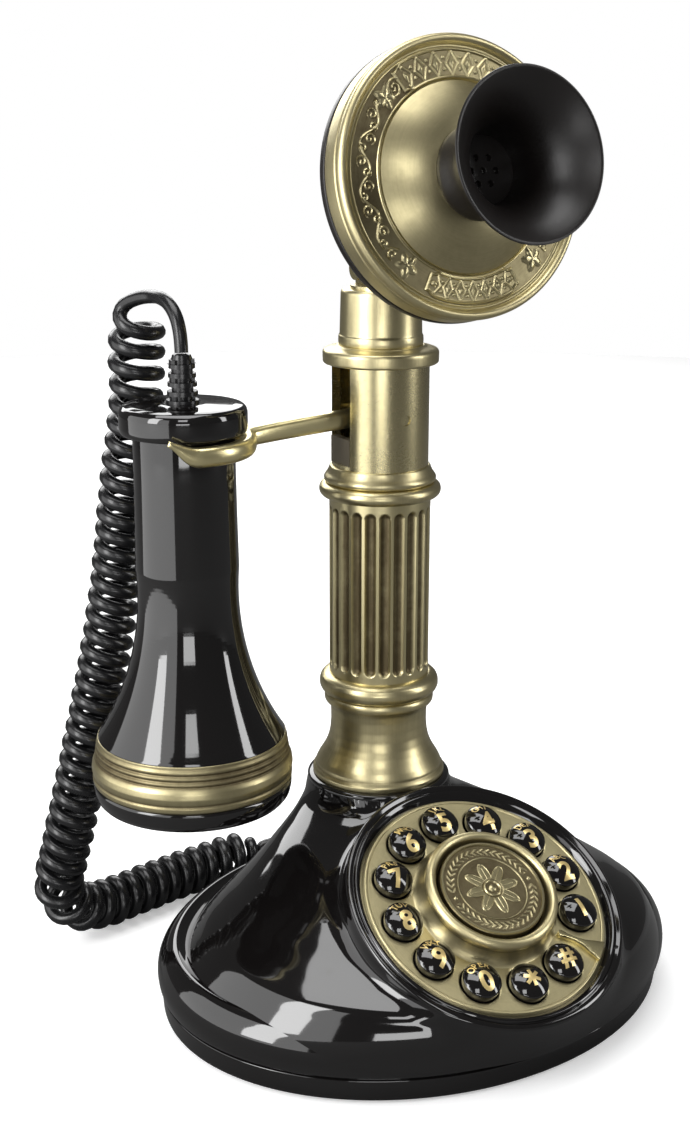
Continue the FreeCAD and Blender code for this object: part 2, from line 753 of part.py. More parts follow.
# --------------------------------------------------------------------------------------------------
# Earpiece
# --------------------------------------------------------------------------------------------------


def make_receiver():
    """A hollow bell-shaped handle with a cap, a brass band and the listening end."""
    axis = at(size("receiver_x"), 0, 0)
    finish(turned("handle", [
        ("handle_bottom_radius - handle_wall", "handle_z"),
        ("handle_bottom_radius", "handle_z"),
        ("handle_top_radius + 0.6", "handle_flare_z"),
        ("handle_top_radius", "handle_top"),
        ("handle_top_radius - handle_wall", "handle_top"),
        ("handle_top_radius + 0.6 - handle_wall", "handle_flare_z"),
    ], axis, bows={1: "handle_flare_radius", 5: "-handle_flare_radius"}), "receiver_body")
    finish(turned("cap_disc", [
        ("0", "handle_top"),
        ("cap_disc_radius", "handle_top"),
        ("cap_disc_radius + 0.3", "handle_top + cap_disc_height - 2"),
        ("cap_disc_radius - 1.8", "handle_top + cap_disc_height"),
        ("0", "handle_top + cap_disc_height"),
    ], axis), "receiver_cap")
    finish(turned("band", [
        ("handle_bottom_radius - handle_wall", "band_z"),
        ("handle_bottom_radius + 2", "band_z"),
        ("handle_bottom_radius + 2.4", "band_z + 2"),
        ("handle_bottom_radius + 1.2", "handle_z - 5"),
        ("handle_bottom_radius + 0.2", "handle_z"),
        ("handle_bottom_radius - handle_wall", "handle_z"),
    ], axis), "receiver_band")
    finish(turned("ear_piece", [
        ("0", "ear_cap_z + 3"),
        ("handle_bottom_radius - 12", "ear_cap_z + 2.4"),
        ("handle_bottom_radius - 4", "ear_cap_z"),
        ("handle_bottom_radius - 0.5", "ear_cap_z"),
        ("handle_bottom_radius + 1.8", "ear_cap_z + 4"),
        ("handle_bottom_radius + 2", "band_z"),
        ("0", "band_z"),
    ], axis), "ear_cap")
    finish(turned("capsule", [
        ("0", "band_z"),
        ("handle_bottom_radius - 7", "band_z"),
        ("handle_bottom_radius - 7", "band_z + 8"),
        ("0", "band_z + 8"),
    ], axis), "receiver_capsule")
    relief_z = size("handle_top") + size("cap_disc_height")
    rib = "relief_height / 11"
    outline = [("0", "0")]
    for step in range(5):
        low, high = f"{rib} * {2 * step}", f"{rib} * {2 * step + 1}"
        wide, narrow = 2.55 - 0.13 * step, 2.5 - 0.13 * step
        outline += [(f"cord_radius * {wide:.2f}", low), (f"cord_radius * {narrow:.2f}", high)]
        outline += [("cord_radius * 1.55", high), ("cord_radius * 1.55", f"{rib} * {2 * step + 2}")]
    outline += [("cord_radius * 1.45", "relief_height"), ("0", "relief_height")]
    finish(turned("relief", outline, at(size("receiver_x"), 0, relief_z)), "receiver_strain_relief")


# --------------------------------------------------------------------------------------------------
# Transmitter
# --------------------------------------------------------------------------------------------------


def make_head():
    """A tilting head: black back shell, brass drum, domed brass face, trumpet mouthpiece and microphone."""
    back = head_place(-size("head_depth"))
    finish(turned("back_dish", [
        ("0", "0"),
        ("head_radius * 0.3", "0"),
        ("head_radius * 0.86", "head_depth * 0.18"),
        ("head_radius", "head_depth * 0.4"),
        ("head_radius", "head_depth * 0.56"),
        ("head_radius - 2.4", "head_depth * 0.56"),
        ("head_radius - 2.4", "head_depth * 0.46"),
        ("head_radius * 0.82", "head_depth * 0.28"),
        ("head_radius * 0.3", "head_depth * 0.11"),
        ("0", "head_depth * 0.11"),
    ], back), "transmitter_back")
    finish(turned("drum", [
        ("head_radius - 2.4", "head_depth * 0.56"),
        ("head_radius", "head_depth * 0.56"),
        ("head_radius", "head_depth * 0.98"),
        ("head_radius - 1.2", "head_depth + 1.6"),
        ("head_radius - 2.8", "head_depth + 1.6"),
        ("head_radius - 3.6", "head_depth + 0.4"),
        ("head_radius - 3.6", "head_depth * 0.9"),
        ("head_radius - 2.4", "head_depth * 0.9"),
    ], back), "transmitter_drum")
    finish(turned("face", [
        ("head_radius * 0.24", "head_depth * 1.36"),
        ("head_radius * 0.67", "head_depth * 0.97"),
        ("head_radius - 3.6", "head_depth * 0.92"),
        ("head_radius - 3.6", "head_depth"),
        ("head_radius * 0.67", "head_depth * 1.05"),
        ("head_radius * 0.24", "head_depth * 1.46"),
    ], back, bows={0: "head_radius * 0.9", 4: "-head_radius * 0.9"}), "transmitter_face")
    mouth = head_place(size("horn_foot_level"))
    finish(turned("trumpet", [
        ("0", "horn_floor"),
        ("horn_floor_radius", "horn_floor"),
        ("horn_throat_radius", "horn_throat"),
        ("horn_mouth_radius - horn_lip", "horn_length"),
        ("horn_mouth_radius", "horn_length"),
        ("horn_waist_radius", "horn_waist"),
        ("horn_base_radius", "0"),
        ("0", "0"),
    ], mouth, bows={2: "-horn_flare_radius", 4: "horn_flare_radius"}), "mouthpiece_horn")
    finish(cylinder("microphone_can", "head_radius * 0.22", "head_depth * 0.3", head_place(1.6)),
           "microphone")

    pivot = FreeCAD.Vector(0, size("tilt_pivot_y"), size("tilt_pivot_z"))
    end = head_place(-size("head_depth")).Base
    way = end - pivot
    lean = FreeCAD.Rotation(FreeCAD.Vector(0, 0, 1), way)
    bars = []
    for name, radius, start in (("neck", "tongue_width * 0.45", 0.0), ("sleeve", "tongue_width * 0.75", 8.0)):
        bar = document.addObject("Part::Cylinder", f"arm_{name}")
        bar.setExpression("Radius", bound(radius))
        bar.Height = way.Length - start - 3.0
        bar.Placement = FreeCAD.Placement(pivot, lean).multiply(at(0, 0, start))
        bars.append(bar)
    tongue = cylinder("tongue", "tongue_radius", "tongue_width",
                      crosswise(-size("tongue_width") / 2, pivot.y, pivot.z))
    boss = cylinder("arm_boss", "tongue_width", "wall * 1.4",
                    head_place(-size("head_depth") - size("wall") * 1.4))
    hole = cylinder("tongue_hole", "tilt_pin_radius + running_gap", "tongue_width * 2",
                    crosswise(-size("tongue_width"), pivot.y, pivot.z))
    finish(cut("tilt_arm_solid", fused("tilt_arm_blank", bars + [tongue, boss]), hole), "tilt_arm")

    disc = cylinder("bracket_disc", "cap_top_radius - 3.4", "wall * 0.4", at(0, 0, size("column_top")))
    ears = []
    for side in (-1, 1):
        middle = side * (size("tongue_width") / 2 + 0.3 + 1.25)
        post = box(f"ear_post_{side + 1}", "2.5", "tongue_radius * 2", "tilt_pivot_z - column_top",
                   at(middle, pivot.y, size("column_top")))
        rounding = cylinder(f"ear_round_{side + 1}", "tongue_radius", "2.5",
                            crosswise(middle - 1.25, pivot.y, pivot.z))
        ears += [post, rounding]
    pin_hole = cylinder("ear_hole", "tilt_pin_radius", "tongue_width * 4",
                        crosswise(-size("tongue_width") * 2, pivot.y, pivot.z))
    finish(cut("bracket_solid", fused("bracket_blank", [disc] + ears), pin_hole), "tilt_bracket")
    pin = cylinder("tilt_pin", "tilt_pin_radius", "tongue_width * 2.2",
                   crosswise(-size("tongue_width") * 1.05, pivot.y, pivot.z))
    knob = cylinder("tilt_knob", "tilt_pin_radius * 2", "wall", crosswise(-9.0, pivot.y, pivot.z))
    nut = cylinder("tilt_nut", "tilt_pin_radius * 1.7", "wall * 0.6", crosswise(5.9, pivot.y, pivot.z))
    finish(fused("tilt_screw_solid", [pin, knob, nut]), "tilt_screw")


# --------------------------------------------------------------------------------------------------
# Cord
# --------------------------------------------------------------------------------------------------


def cord_path(route, label):
    """Join straight runs by tangent arcs, each as large as its two runs allow, and print their radii."""
    points = [FreeCAD.Vector(*point) for point in route]
    edges = []
    start = points[0]
    radii = []
    for before, corner, after in zip(points, points[1:], points[2:]):
        back, ahead = before - corner, after - corner
        turn = math.pi - back.getAngle(ahead)
        reach = 0.45 * min(back.Length, ahead.Length)
        radii.append(reach / math.tan(turn / 2))
        back.normalize()
        ahead.normalize()
        arc_start, arc_end = corner + back * reach, corner + ahead * reach
        inward = (back + ahead).normalize()
        centre = corner + inward * (radii[-1] / math.cos(turn / 2))
        middle = centre - inward * radii[-1]
        edges.append(Part.LineSegment(start, arc_start).toShape())
        edges.append(Part.Arc(arc_start, middle, arc_end).toShape())
        start = arc_end
    edges.append(Part.LineSegment(start, points[-1]).toShape())
    print(label, "bend radii, mm:", ", ".join(f"{radius:.0f}" for radius in radii))
    return Part.Wire(edges)


def cord_tube(label, route, radius):
    """Sweep a round section along a route, and compare its volume with section times length."""
    path = cord_path(route, label)
    first = FreeCAD.Vector(*route[0])
    heading = FreeCAD.Vector(*route[1]) - first
    section = Part.Wire(Part.makeCircle(radius, first, heading))
    part = document.addObject("Part::Feature", label + "_tube")
    part.Shape = path.makePipeShell([section], True, False)
    expected = math.pi * radius ** 2 * path.Length
    ratio = part.Shape.Volume / expected
    print(f"{label}: length {path.Length:.1f} mm, volume over section times length {ratio:.4f}")
    return finish(part, label)


def make_cord():
    """The curly cord as its outer tube, with the straight lead at the earpiece and the tail at the base."""
    cord_tube("curly_cord", CURL_ROUTE, size("curl_radius"))
    cord_tube("cord_lead", LEAD_ROUTE, size("cord_radius"))
    cord_tube("cord_tail", TAIL_ROUTE, size("cord_radius"))


# --------------------------------------------------------------------------------------------------
# Build, check and write
# --------------------------------------------------------------------------------------------------


def check_document():
    """Stop if any object failed or any sub-part is missing or invalid."""
    for item in document.Objects:
        if "Invalid" in item.State or "Error" in item.State:
            raise RuntimeError(f"{item.Name} did not build: {item.State}")
    for part in nodes:
        if part.Shape.isNull() or not part.Shape.isValid() or part.Shape.Volume <= 0:
            raise RuntimeError(f"{part.Label} has no valid solid")


def write_parts():
    """Write every sub-part to its own file."""
    os.makedirs("parts", exist_ok=True)
    for part in nodes:
        part.Shape.exportStep(f"parts/{part.Label}.step")
    print(len(nodes), "sub-parts written")


fill_sheet()
make_base_shell()
make_base_fittings()
make_dial_plate()
make_buttons()
make_dial_trim()
make_column()
make_hook()
make_receiver()
make_head()
make_cord()
document.recompute()
check_document()
write_parts()
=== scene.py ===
import math

import bmesh
import bpy
import numpy as np
from mathutils import Matrix, Vector


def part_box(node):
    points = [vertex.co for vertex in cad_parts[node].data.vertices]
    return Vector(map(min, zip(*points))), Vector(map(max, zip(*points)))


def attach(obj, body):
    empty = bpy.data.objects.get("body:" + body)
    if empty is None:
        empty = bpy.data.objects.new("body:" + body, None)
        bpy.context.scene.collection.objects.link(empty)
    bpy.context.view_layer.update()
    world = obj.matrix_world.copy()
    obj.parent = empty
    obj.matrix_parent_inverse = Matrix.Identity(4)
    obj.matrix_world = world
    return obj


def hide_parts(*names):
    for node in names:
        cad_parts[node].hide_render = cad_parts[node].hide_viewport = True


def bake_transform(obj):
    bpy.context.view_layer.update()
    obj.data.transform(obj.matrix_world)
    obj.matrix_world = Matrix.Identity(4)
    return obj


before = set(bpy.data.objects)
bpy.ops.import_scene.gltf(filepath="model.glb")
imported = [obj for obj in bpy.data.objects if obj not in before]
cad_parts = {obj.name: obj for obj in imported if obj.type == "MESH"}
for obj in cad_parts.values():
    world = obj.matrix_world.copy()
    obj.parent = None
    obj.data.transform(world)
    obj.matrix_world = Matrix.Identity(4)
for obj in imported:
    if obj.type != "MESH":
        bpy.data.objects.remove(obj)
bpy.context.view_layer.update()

bl_info = {
    "name": "Candlestick telephone",
    "version": (1, 0, 0),
    "blender": (4, 5, 0),
    "location": "3D View > Sidebar > Telephone",
    "description": "Builds the visible surfaces of a push-button candlestick telephone round its CAD frame",
    "category": "Object",
}

# ------------------------------------------------------------------------------------------------------------
# Places, read from the frame. Lengths are in metres; MM turns a maker's millimetres into metres.
# ------------------------------------------------------------------------------------------------------------

MM = 0.001
DIAL_TILT = math.radians(30.4)
HEAD_TILT = math.radians(12.2)
BUTTONS = ("1", "2", "3", "4", "5", "6", "7", "8", "9", "0", "star", "hash")
LETTERS = {"2": "ABC", "3": "DEF", "4": "GHI", "5": "JKL", "6": "MNO", "7": "PRS", "8": "TUV", "9": "WXY",
           "0": "OPER"}
SIGNS = {"hash": "#"}


def middle(node):
    """Return the middle of a CAD node's box."""
    low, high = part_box(node)
    return (np.array(low) + np.array(high)) / 2


def tilted(centre, angle):
    """Return a frame at a centre, turned about +X by an angle."""
    return Matrix.Translation(Vector(centre)) @ Matrix.Rotation(angle, 4, "X")


DIAL_NORMAL = np.array([0.0, -math.sin(DIAL_TILT), math.cos(DIAL_TILT)])
PLATE_THICKNESS = 2.5 * MM
PLATE_PLACE = tilted(middle("dial_plate") + DIAL_NORMAL * PLATE_THICKNESS / 2, DIAL_TILT)
HEAD_NORMAL = np.array([0.0, -math.cos(HEAD_TILT), math.sin(HEAD_TILT)])
MICROPHONE_FORWARD = 4.6 * MM
HEAD_PLACE = tilted(middle("microphone") - HEAD_NORMAL * MICROPHONE_FORWARD, math.pi / 2 - HEAD_TILT)
EARPIECE_PLACE = Matrix.Translation((middle("receiver_cap")[0], 0.0, 0.0))
COLUMN_PLACE = Matrix.Identity(4)

# The cord's route: lead over the earpiece, coils down and along the desk, tail into the base.
CORD_ROUTE = np.array([
    (-76.5, 0.0, 238.5), (-76.0, 1.2, 247.0), (-76.4, 9.8, 254.6), (-77.3, 23.3, 255.4), (-77.3, 33.3, 249.0),
    (-77.8, 36.0, 241.0), (-77.4, 38.2, 216.0), (-81.5, 41.2, 189.0), (-84.5, 45.0, 153.0),
    (-90.0, 49.0, 117.0), (-99.5, 51.8, 75.0), (-106.5, 55.5, 42.0), (-110.5, 58.5, 24.0),
    (-98.0, 62.5, 10.3), (-66.0, 71.0, 10.1), (-42.0, 75.4, 10.4), (-18.0, 76.3, 12.0),
    (-8.0, 76.6, 13.2), (0.5, 70.8, 15.4), (3.0, 59.5, 17.0),
]) * MM


# ------------------------------------------------------------------------------------------------------------
# Surfaces
# ------------------------------------------------------------------------------------------------------------


def smooth_step(value, low, high):
    """Return 0 below low, 1 above high and 3t^2 - 2t^3 between them."""
    share = np.clip((value - low) / (high - low), 0.0, 1.0)
    return share * share * (3 - 2 * share)


def soft_min(one, other, width):
    """Return the smaller of two fields, rounded over a width: min - width/4 * (1 - |difference|/width)^2."""
    share = np.clip(1 - np.abs(one - other) / width, 0.0, 1.0)
    return np.minimum(one, other) - share * share * width / 4


def soft_max(one, other, width):
    """Return the larger of two fields, rounded over a width."""
    return -soft_min(-one, -other, width)


def ridge(value, width):
    """Return a rounded ridge of height 1 at nought that falls to nothing at a width."""
    return np.clip(1 - (value / width) ** 2, 0.0, 1.0)


def grid_faces(rows, columns, rows_close, columns_close):
    """Return the quads of a grid of points, wrapped in either direction where it closes."""
    down = np.arange(rows if rows_close else rows - 1)
    across = np.arange(columns if columns_close else columns - 1)
    row, column = np.meshgrid(down, across, indexing="ij")
    below, beside = (row + 1) % rows, (column + 1) % columns
    corners = (row * columns + column, row * columns + beside, below * columns + beside,
               below * columns + column)
    return np.stack(corners, axis=-1).reshape(-1, 4)


def add_mesh(name, points, faces, place=None, uv=None, marks=None):
    """Make a mesh object at the origin from points, faces, a point UV map and named point values."""
    if place is not None:
        turn = np.array(place)
        points = points @ turn[:3, :3].T + turn[:3, 3]
    mesh = bpy.data.meshes.new(name)
    mesh.from_pydata(points.tolist(), [], [list(face) for face in faces])
    corner_points = np.empty(len(mesh.loops), dtype=np.int64)
    mesh.loops.foreach_get("vertex_index", corner_points)
    if uv is not None:
        layer = mesh.uv_layers.new(name="Finish")
        layer.data.foreach_set("uv", uv[corner_points].astype(np.float32).ravel())
    for mark, values in (marks or {}).items():
        attribute = mesh.attributes.new(mark, "FLOAT", "POINT")
        attribute.data.foreach_set("value", np.asarray(values, dtype=np.float32).ravel())
    mesh.validate()
    piece = bpy.data.objects.new(name, mesh)
    bpy.context.scene.collection.objects.link(piece)
    return piece


def tidy_normals(piece, merge=1e-6, smooth_angle=40.0):
    """Merge doubles, turn every face outwards and shade smooth except across sharp edges."""
    mesh = piece.data
    work = bmesh.new()
    work.from_mesh(mesh)
    bmesh.ops.remove_doubles(work, verts=work.verts, dist=merge)
    bmesh.ops.recalc_face_normals(work, faces=work.faces)
    work.to_mesh(mesh)
    work.free()
    mesh.shade_smooth()
    mesh.set_sharp_from_angle(angle=math.radians(smooth_angle))
    return piece


def rounded(outline, radius, steps=5, closed=True):
    """Return an outline of (across, up) points with its corners rounded by arcs of up to the radius.

    Each arc is the quadratic curve from one side of the corner to the other: (1-t)^2 A + 2t(1-t) C + t^2 B.
    """
    points = [np.array(point, float) for point in outline]
    count = len(points)
    result = []
    share = np.linspace(0.0, 1.0, steps)[:, None]
    for index, corner in enumerate(points):
        if not closed and index in (0, count - 1):
            result.append(corner[None])
            continue
        before, after = points[index - 1], points[(index + 1) % count]
        back, ahead = before - corner, after - corner
        reach = min(radius, 0.45 * np.linalg.norm(back), 0.45 * np.linalg.norm(ahead))
        start = corner + back / np.linalg.norm(back) * reach
        end = corner + ahead / np.linalg.norm(ahead) * reach
        result.append((1 - share) ** 2 * start + 2 * share * (1 - share) * corner + share ** 2 * end)
    return np.concatenate(result)


def hollows(profile):
    """Split an outline into steps of 0.6 mm and return it with how hollow each point is, from 0 to 0.7.

    The hollowness is the sum of the inward turns of the outline, each weighted by exp(-(distance / 0.9 mm)^2).
    """
    around = np.concatenate([profile, profile[:1]])
    steps = np.maximum(1, np.ceil(np.linalg.norm(np.diff(around, axis=0), axis=1) / 0.6).astype(int))
    fine = np.concatenate([
        start + (end - start) * np.arange(count)[:, None] / count
        for start, end, count in zip(around[:-1], around[1:], steps)])
    ahead = np.roll(fine, -1, axis=0) - fine
    behind = np.roll(ahead, 1, axis=0)
    crossed = behind[:, 0] * ahead[:, 1] - behind[:, 1] * ahead[:, 0]
    turn = np.arctan2(crossed, (behind * ahead).sum(axis=1))
    inward = np.clip(-turn * np.sign(turn.sum()), 0, None)
    apart = np.linalg.norm(fine[:, None] - fine[None], axis=2)
    return fine, np.clip((np.exp(-(apart / 0.9) ** 2) * inward).sum(axis=1), 0, 1.0) * 0.7


def spun(name, outline, place, segments=160, radius=0.3, closed=True, relief=None, smooth_angle=40.0,
         aged=False):
    """Turn a rounded outline (millimetres) about its own axis.

    A point is (r cos a, r sin a, h) for the outline's (r, h); relief(angle, r, h) moves it along its radius
    and its height. An outline that is not closed has both its ends on the axis. An aged piece is dark in its
    grooves.
    """
    profile = rounded(outline, radius, closed=closed)
    depth = np.zeros(len(profile))
    if aged:
        profile, depth = hollows(profile)
    angle = np.linspace(0.0, 2 * math.pi, segments + 1)
    spin, across = np.meshgrid(angle, profile[:, 0], indexing="ij")
    up = np.broadcast_to(profile[:, 1], spin.shape).copy()
    recess_and_shade = np.broadcast_to(depth, spin.shape).copy()
    if relief:
        out, rise, recess_and_shade = relief(spin, across, up)
        across, up = across + out, up + rise
    points = np.stack([across * np.cos(spin), across * np.sin(spin), up], axis=-1).reshape(-1, 3) * MM
    travelled = np.concatenate([[0.0], np.cumsum(np.linalg.norm(np.diff(profile, axis=0), axis=1))])
    uv = np.stack([spin * across.max(), np.broadcast_to(travelled, spin.shape)], axis=-1).reshape(-1, 2) * MM
    faces = grid_faces(segments + 1, len(profile), False, closed)
    piece = add_mesh(name, points, faces, place, uv, {"recess_and_shade": recess_and_shade})
    return tidy_normals(piece, smooth_angle=smooth_angle)


def swept(path, sizes, sides=20, square=2.0):
    """Carry a cross-section along a path and close both ends.

    The section at each point is (a |cos t|^(2/n), b |sin t|^(2/n)) for its half sizes (a, b), with the signs of
    the cosine and the sine, held level and square to the path.
    """
    path, sizes = np.asarray(path, float), np.asarray(sizes, float)
    ahead = np.gradient(path, axis=0)
    ahead /= np.linalg.norm(ahead, axis=1)[:, None]
    side = np.cross(ahead, [0.0, 0.0, 1.0])
    side /= np.linalg.norm(side, axis=1)[:, None]
    up = np.cross(side, ahead)
    angle = np.linspace(0.0, 2 * math.pi, sides, endpoint=False)
    across = np.sign(np.cos(angle)) * np.abs(np.cos(angle)) ** (2 / square)
    rise = np.sign(np.sin(angle)) * np.abs(np.sin(angle)) ** (2 / square)
    ring = (path[:, None] + side[:, None] * (sizes[:, :1] * across)[..., None]
            + up[:, None] * (sizes[:, 1:] * rise)[..., None])
    points = ring.reshape(-1, 3)
    faces = [tuple(face) for face in grid_faces(len(path), sides, False, True)]
    last = (len(path) - 1) * sides
    faces += [tuple(range(sides))[::-1], tuple(range(last, last + sides))]
    return points, faces


# ------------------------------------------------------------------------------------------------------------
# Shader groups and finishes
# ------------------------------------------------------------------------------------------------------------


def shader_group(name, inputs, outputs):
    """Make an empty shader group with named inputs (name, type, default) and outputs (name, type)."""
    group = bpy.data.node_groups.new(name, "ShaderNodeTree")
    for label, kind, default in inputs:
        socket = group.interface.new_socket(label, in_out="INPUT", socket_type=kind)
        if default is not None:
            socket.default_value = default
    for label, kind in outputs:
        group.interface.new_socket(label, in_out="OUTPUT", socket_type=kind)
    return group, group.nodes.new("NodeGroupInput"), group.nodes.new("NodeGroupOutput")


def math_node(tree, operation, one, other=None):
    """Add a maths node fed by sockets or numbers, and return its output."""
    node = tree.nodes.new("ShaderNodeMath")
    node.operation = operation
    for socket, source in zip(node.inputs, (one, other)):
        if isinstance(source, bpy.types.NodeSocket):
            tree.links.new(source, socket)
        elif source is not None:
            socket.default_value = source
    return node.outputs[0]


def noise_node(tree, vector, scale, detail=4.0, roughness=0.6):
    """Add a noise texture on a vector and return its factor."""
    node = tree.nodes.new("ShaderNodeTexNoise")
    node.inputs["Detail"].default_value = detail
    node.inputs["Roughness"].default_value = roughness
    tree.links.new(vector, node.inputs["Vector"])
    if isinstance(scale, bpy.types.NodeSocket):
        tree.links.new(scale, node.inputs["Scale"])
    else:
        node.inputs["Scale"].default_value = scale
    return node.outputs["Factor" if "Factor" in node.outputs else "Fac"]


def stretched(tree, vector, scale):
    """Add a mapping that scales a vector's three axes."""
    node = tree.nodes.new("ShaderNodeMapping")
    node.inputs["Scale"].default_value = scale
    tree.links.new(vector, node.inputs["Vector"])
    return node.outputs["Vector"]


def make_brushing_group():
    """Fine lines left by a wheel: two noises stretched along the first axis of the vector."""
    group, source, result = shader_group(
        "brushing",
        [("Vector", "NodeSocketVector", None)],
        [("Lines", "NodeSocketFloat")],
    )
    fine = noise_node(group, stretched(group, source.outputs["Vector"], (60.0, 9000.0, 9000.0)), 1.0, 3.0)
    broad = noise_node(group, stretched(group, source.outputs["Vector"], (18.0, 1400.0, 1400.0)), 1.0, 2.0)
    mixed = math_node(group, "MULTIPLY_ADD", fine, 0.6)
    mixed.node.inputs[2].default_value = 0.0
    group.links.new(math_node(group, "MULTIPLY", broad, 0.4), mixed.node.inputs[2])
    group.links.new(mixed, result.inputs["Lines"])
    return group


def make_tarnish_and_shade_group():
    """Where old brass has darkened, as broad clouds, small blotches and every recess, plus the painted shade
    that comes in with the recess input, as a mask from 0 to 1.
    """
    group, source, result = shader_group(
        "tarnish_and_shade",
        [("Vector", "NodeSocketVector", None), ("Recess", "NodeSocketFloat", 0.0),
         ("Amount", "NodeSocketFloat", 0.5)],
        [("Mask", "NodeSocketFloat")],
    )
    clouds = noise_node(group, source.outputs["Vector"], 55.0, 5.0, 0.65)
    blotches = noise_node(group, source.outputs["Vector"], 420.0, 3.0, 0.6)
    uneven = math_node(group, "ADD", math_node(group, "MULTIPLY", clouds, 1.5),
                       math_node(group, "MULTIPLY", blotches, 0.5))
    spread = math_node(group, "MULTIPLY", math_node(group, "SUBTRACT", uneven, 0.72),
                       source.outputs["Amount"])
    mask = math_node(group, "ADD", spread, source.outputs["Recess"])
    mask.node.use_clamp = True
    group.links.new(mask, result.inputs["Mask"])
    return group


def make_dust_group():
    """Faint specks and smears that dull a moulded surface, as a mask from 0 to 1."""
    group, source, result = shader_group(
        "handling",
        [("Vector", "NodeSocketVector", None), ("Amount", "NodeSocketFloat", 0.5)],
        [("Mask", "NodeSocketFloat")],
    )
    smears = noise_node(group, source.outputs["Vector"], 38.0, 6.0, 0.7)
    specks = noise_node(group, source.outputs["Vector"], 2600.0, 2.0, 0.5)
    both = math_node(group, "MULTIPLY", smears, specks)
    mask = math_node(group, "MULTIPLY", both, source.outputs["Amount"])
    mask.node.use_clamp = True
    group.links.new(mask, result.inputs["Mask"])
    return group


def new_material(name):
    """Make an empty node material and return it with its tree and its Principled shader."""
    material = bpy.data.materials.new(name)
    material.use_nodes = True
    tree = material.node_tree
    tree.nodes.clear()
    output = tree.nodes.new("ShaderNodeOutputMaterial")
    shader = tree.nodes.new("ShaderNodeBsdfPrincipled")
    tree.links.new(shader.outputs[0], output.inputs["Surface"])
    return material, tree, shader


def mixed_colour(tree, mask, one, other):
    """Mix two colours by a mask and return the colour."""
    node = tree.nodes.new("ShaderNodeMix")
    node.data_type = "RGBA"
    node.inputs["A"].default_value = (*one, 1.0)
    node.inputs["B"].default_value = (*other, 1.0)
    tree.links.new(mask, node.inputs["Factor"])
    return node.outputs["Result"]


def ranged(tree, value, low, high):
    """Map a value from 0..1 to low..high."""
    node = tree.nodes.new("ShaderNodeMapRange")
    node.inputs["To Min"].default_value = low
    node.inputs["To Max"].default_value = high
    tree.links.new(value, node.inputs["Value"])
    return node.outputs["Result"]


def bumped(tree, shader, height, strength, distance):
    """Feed a height to the shader's normal."""
    node = tree.nodes.new("ShaderNodeBump")
    node.inputs["Strength"].default_value = strength
    node.inputs["Distance"].default_value = distance
    tree.links.new(height, node.inputs["Height"])
    tree.links.new(node.outputs["Normal"], shader.inputs["Normal"])


def grouped(tree, group, **values):
    """Place a shader group, with its inputs linked to sockets or set to numbers."""
    node = tree.nodes.new("ShaderNodeGroup")
    node.node_tree = bpy.data.node_groups[group]
    for label, value in values.items():
        if isinstance(value, bpy.types.NodeSocket):
            tree.links.new(value, node.inputs[label])
        else:
            node.inputs[label].default_value = value
    return node.outputs[0]


def brass_finish(name, bright, dark, amount, on_uv=True, roughness=(0.24, 0.5), turn=0.0):
    """Brass with brushed lines, darkened in its recesses and in clouds, and by painted shade where a piece's
    recess values carry it.
    """
    material, tree, shader = new_material(name)
    place = tree.nodes.new("ShaderNodeTexCoord").outputs["Object"]
    grain_place = place
    if on_uv:
        uv_map = tree.nodes.new("ShaderNodeUVMap")
        uv_map.uv_map = "Finish"
        grain_place = uv_map.outputs["UV"]
    if turn:
        turned = tree.nodes.new("ShaderNodeMapping")
        turned.inputs["Rotation"].default_value = (0.0, 0.0, turn)
        tree.links.new(grain_place, turned.inputs["Vector"])
        grain_place = turned.outputs["Vector"]
    lines = grouped(tree, "brushing", Vector=grain_place)
    # The recess values hold patina in hollows and wear on raised edges. On the head's face they also hold
    # painted shade towards the upper left.
    recess_and_shade = tree.nodes.new("ShaderNodeAttribute")
    recess_and_shade.attribute_name = "recess_and_shade"
    mask = grouped(tree, "tarnish_and_shade", Vector=place, Recess=recess_and_shade.outputs["Fac"], Amount=amount)
    streaked = math_node(tree, "ADD", mask, math_node(tree, "MULTIPLY",
                                                      math_node(tree, "SUBTRACT", lines, 0.5), 0.5))
    streaked.node.use_clamp = True
    tree.links.new(mixed_colour(tree, streaked, bright, dark), shader.inputs["Base Color"])
    tree.links.new(ranged(tree, streaked, *roughness), shader.inputs["Roughness"])
    shader.inputs["Metallic"].default_value = 1.0
    bumped(tree, shader, lines, 0.12, 0.00012)
    return material


def moulded_finish(name, colour, worn, roughness, coat, grain, grain_scale=1800.0, amount=0.6):
    """Moulded plastic or rubber: a slightly uneven skin with faint handling marks."""
    material, tree, shader = new_material(name)
    place = tree.nodes.new("ShaderNodeTexCoord").outputs["Object"]
    mask = grouped(tree, "handling", Vector=place, Amount=amount)
    tree.links.new(mixed_colour(tree, mask, colour, worn), shader.inputs["Base Color"])
    tree.links.new(ranged(tree, mask, *roughness), shader.inputs["Roughness"])
    shader.inputs["Coat Weight"].default_value = coat
    shader.inputs["Coat Roughness"].default_value = 0.04
    skin = noise_node(tree, place, grain_scale, 3.0)
    bumped(tree, shader, skin, grain, 0.0001)
    return material
    return material


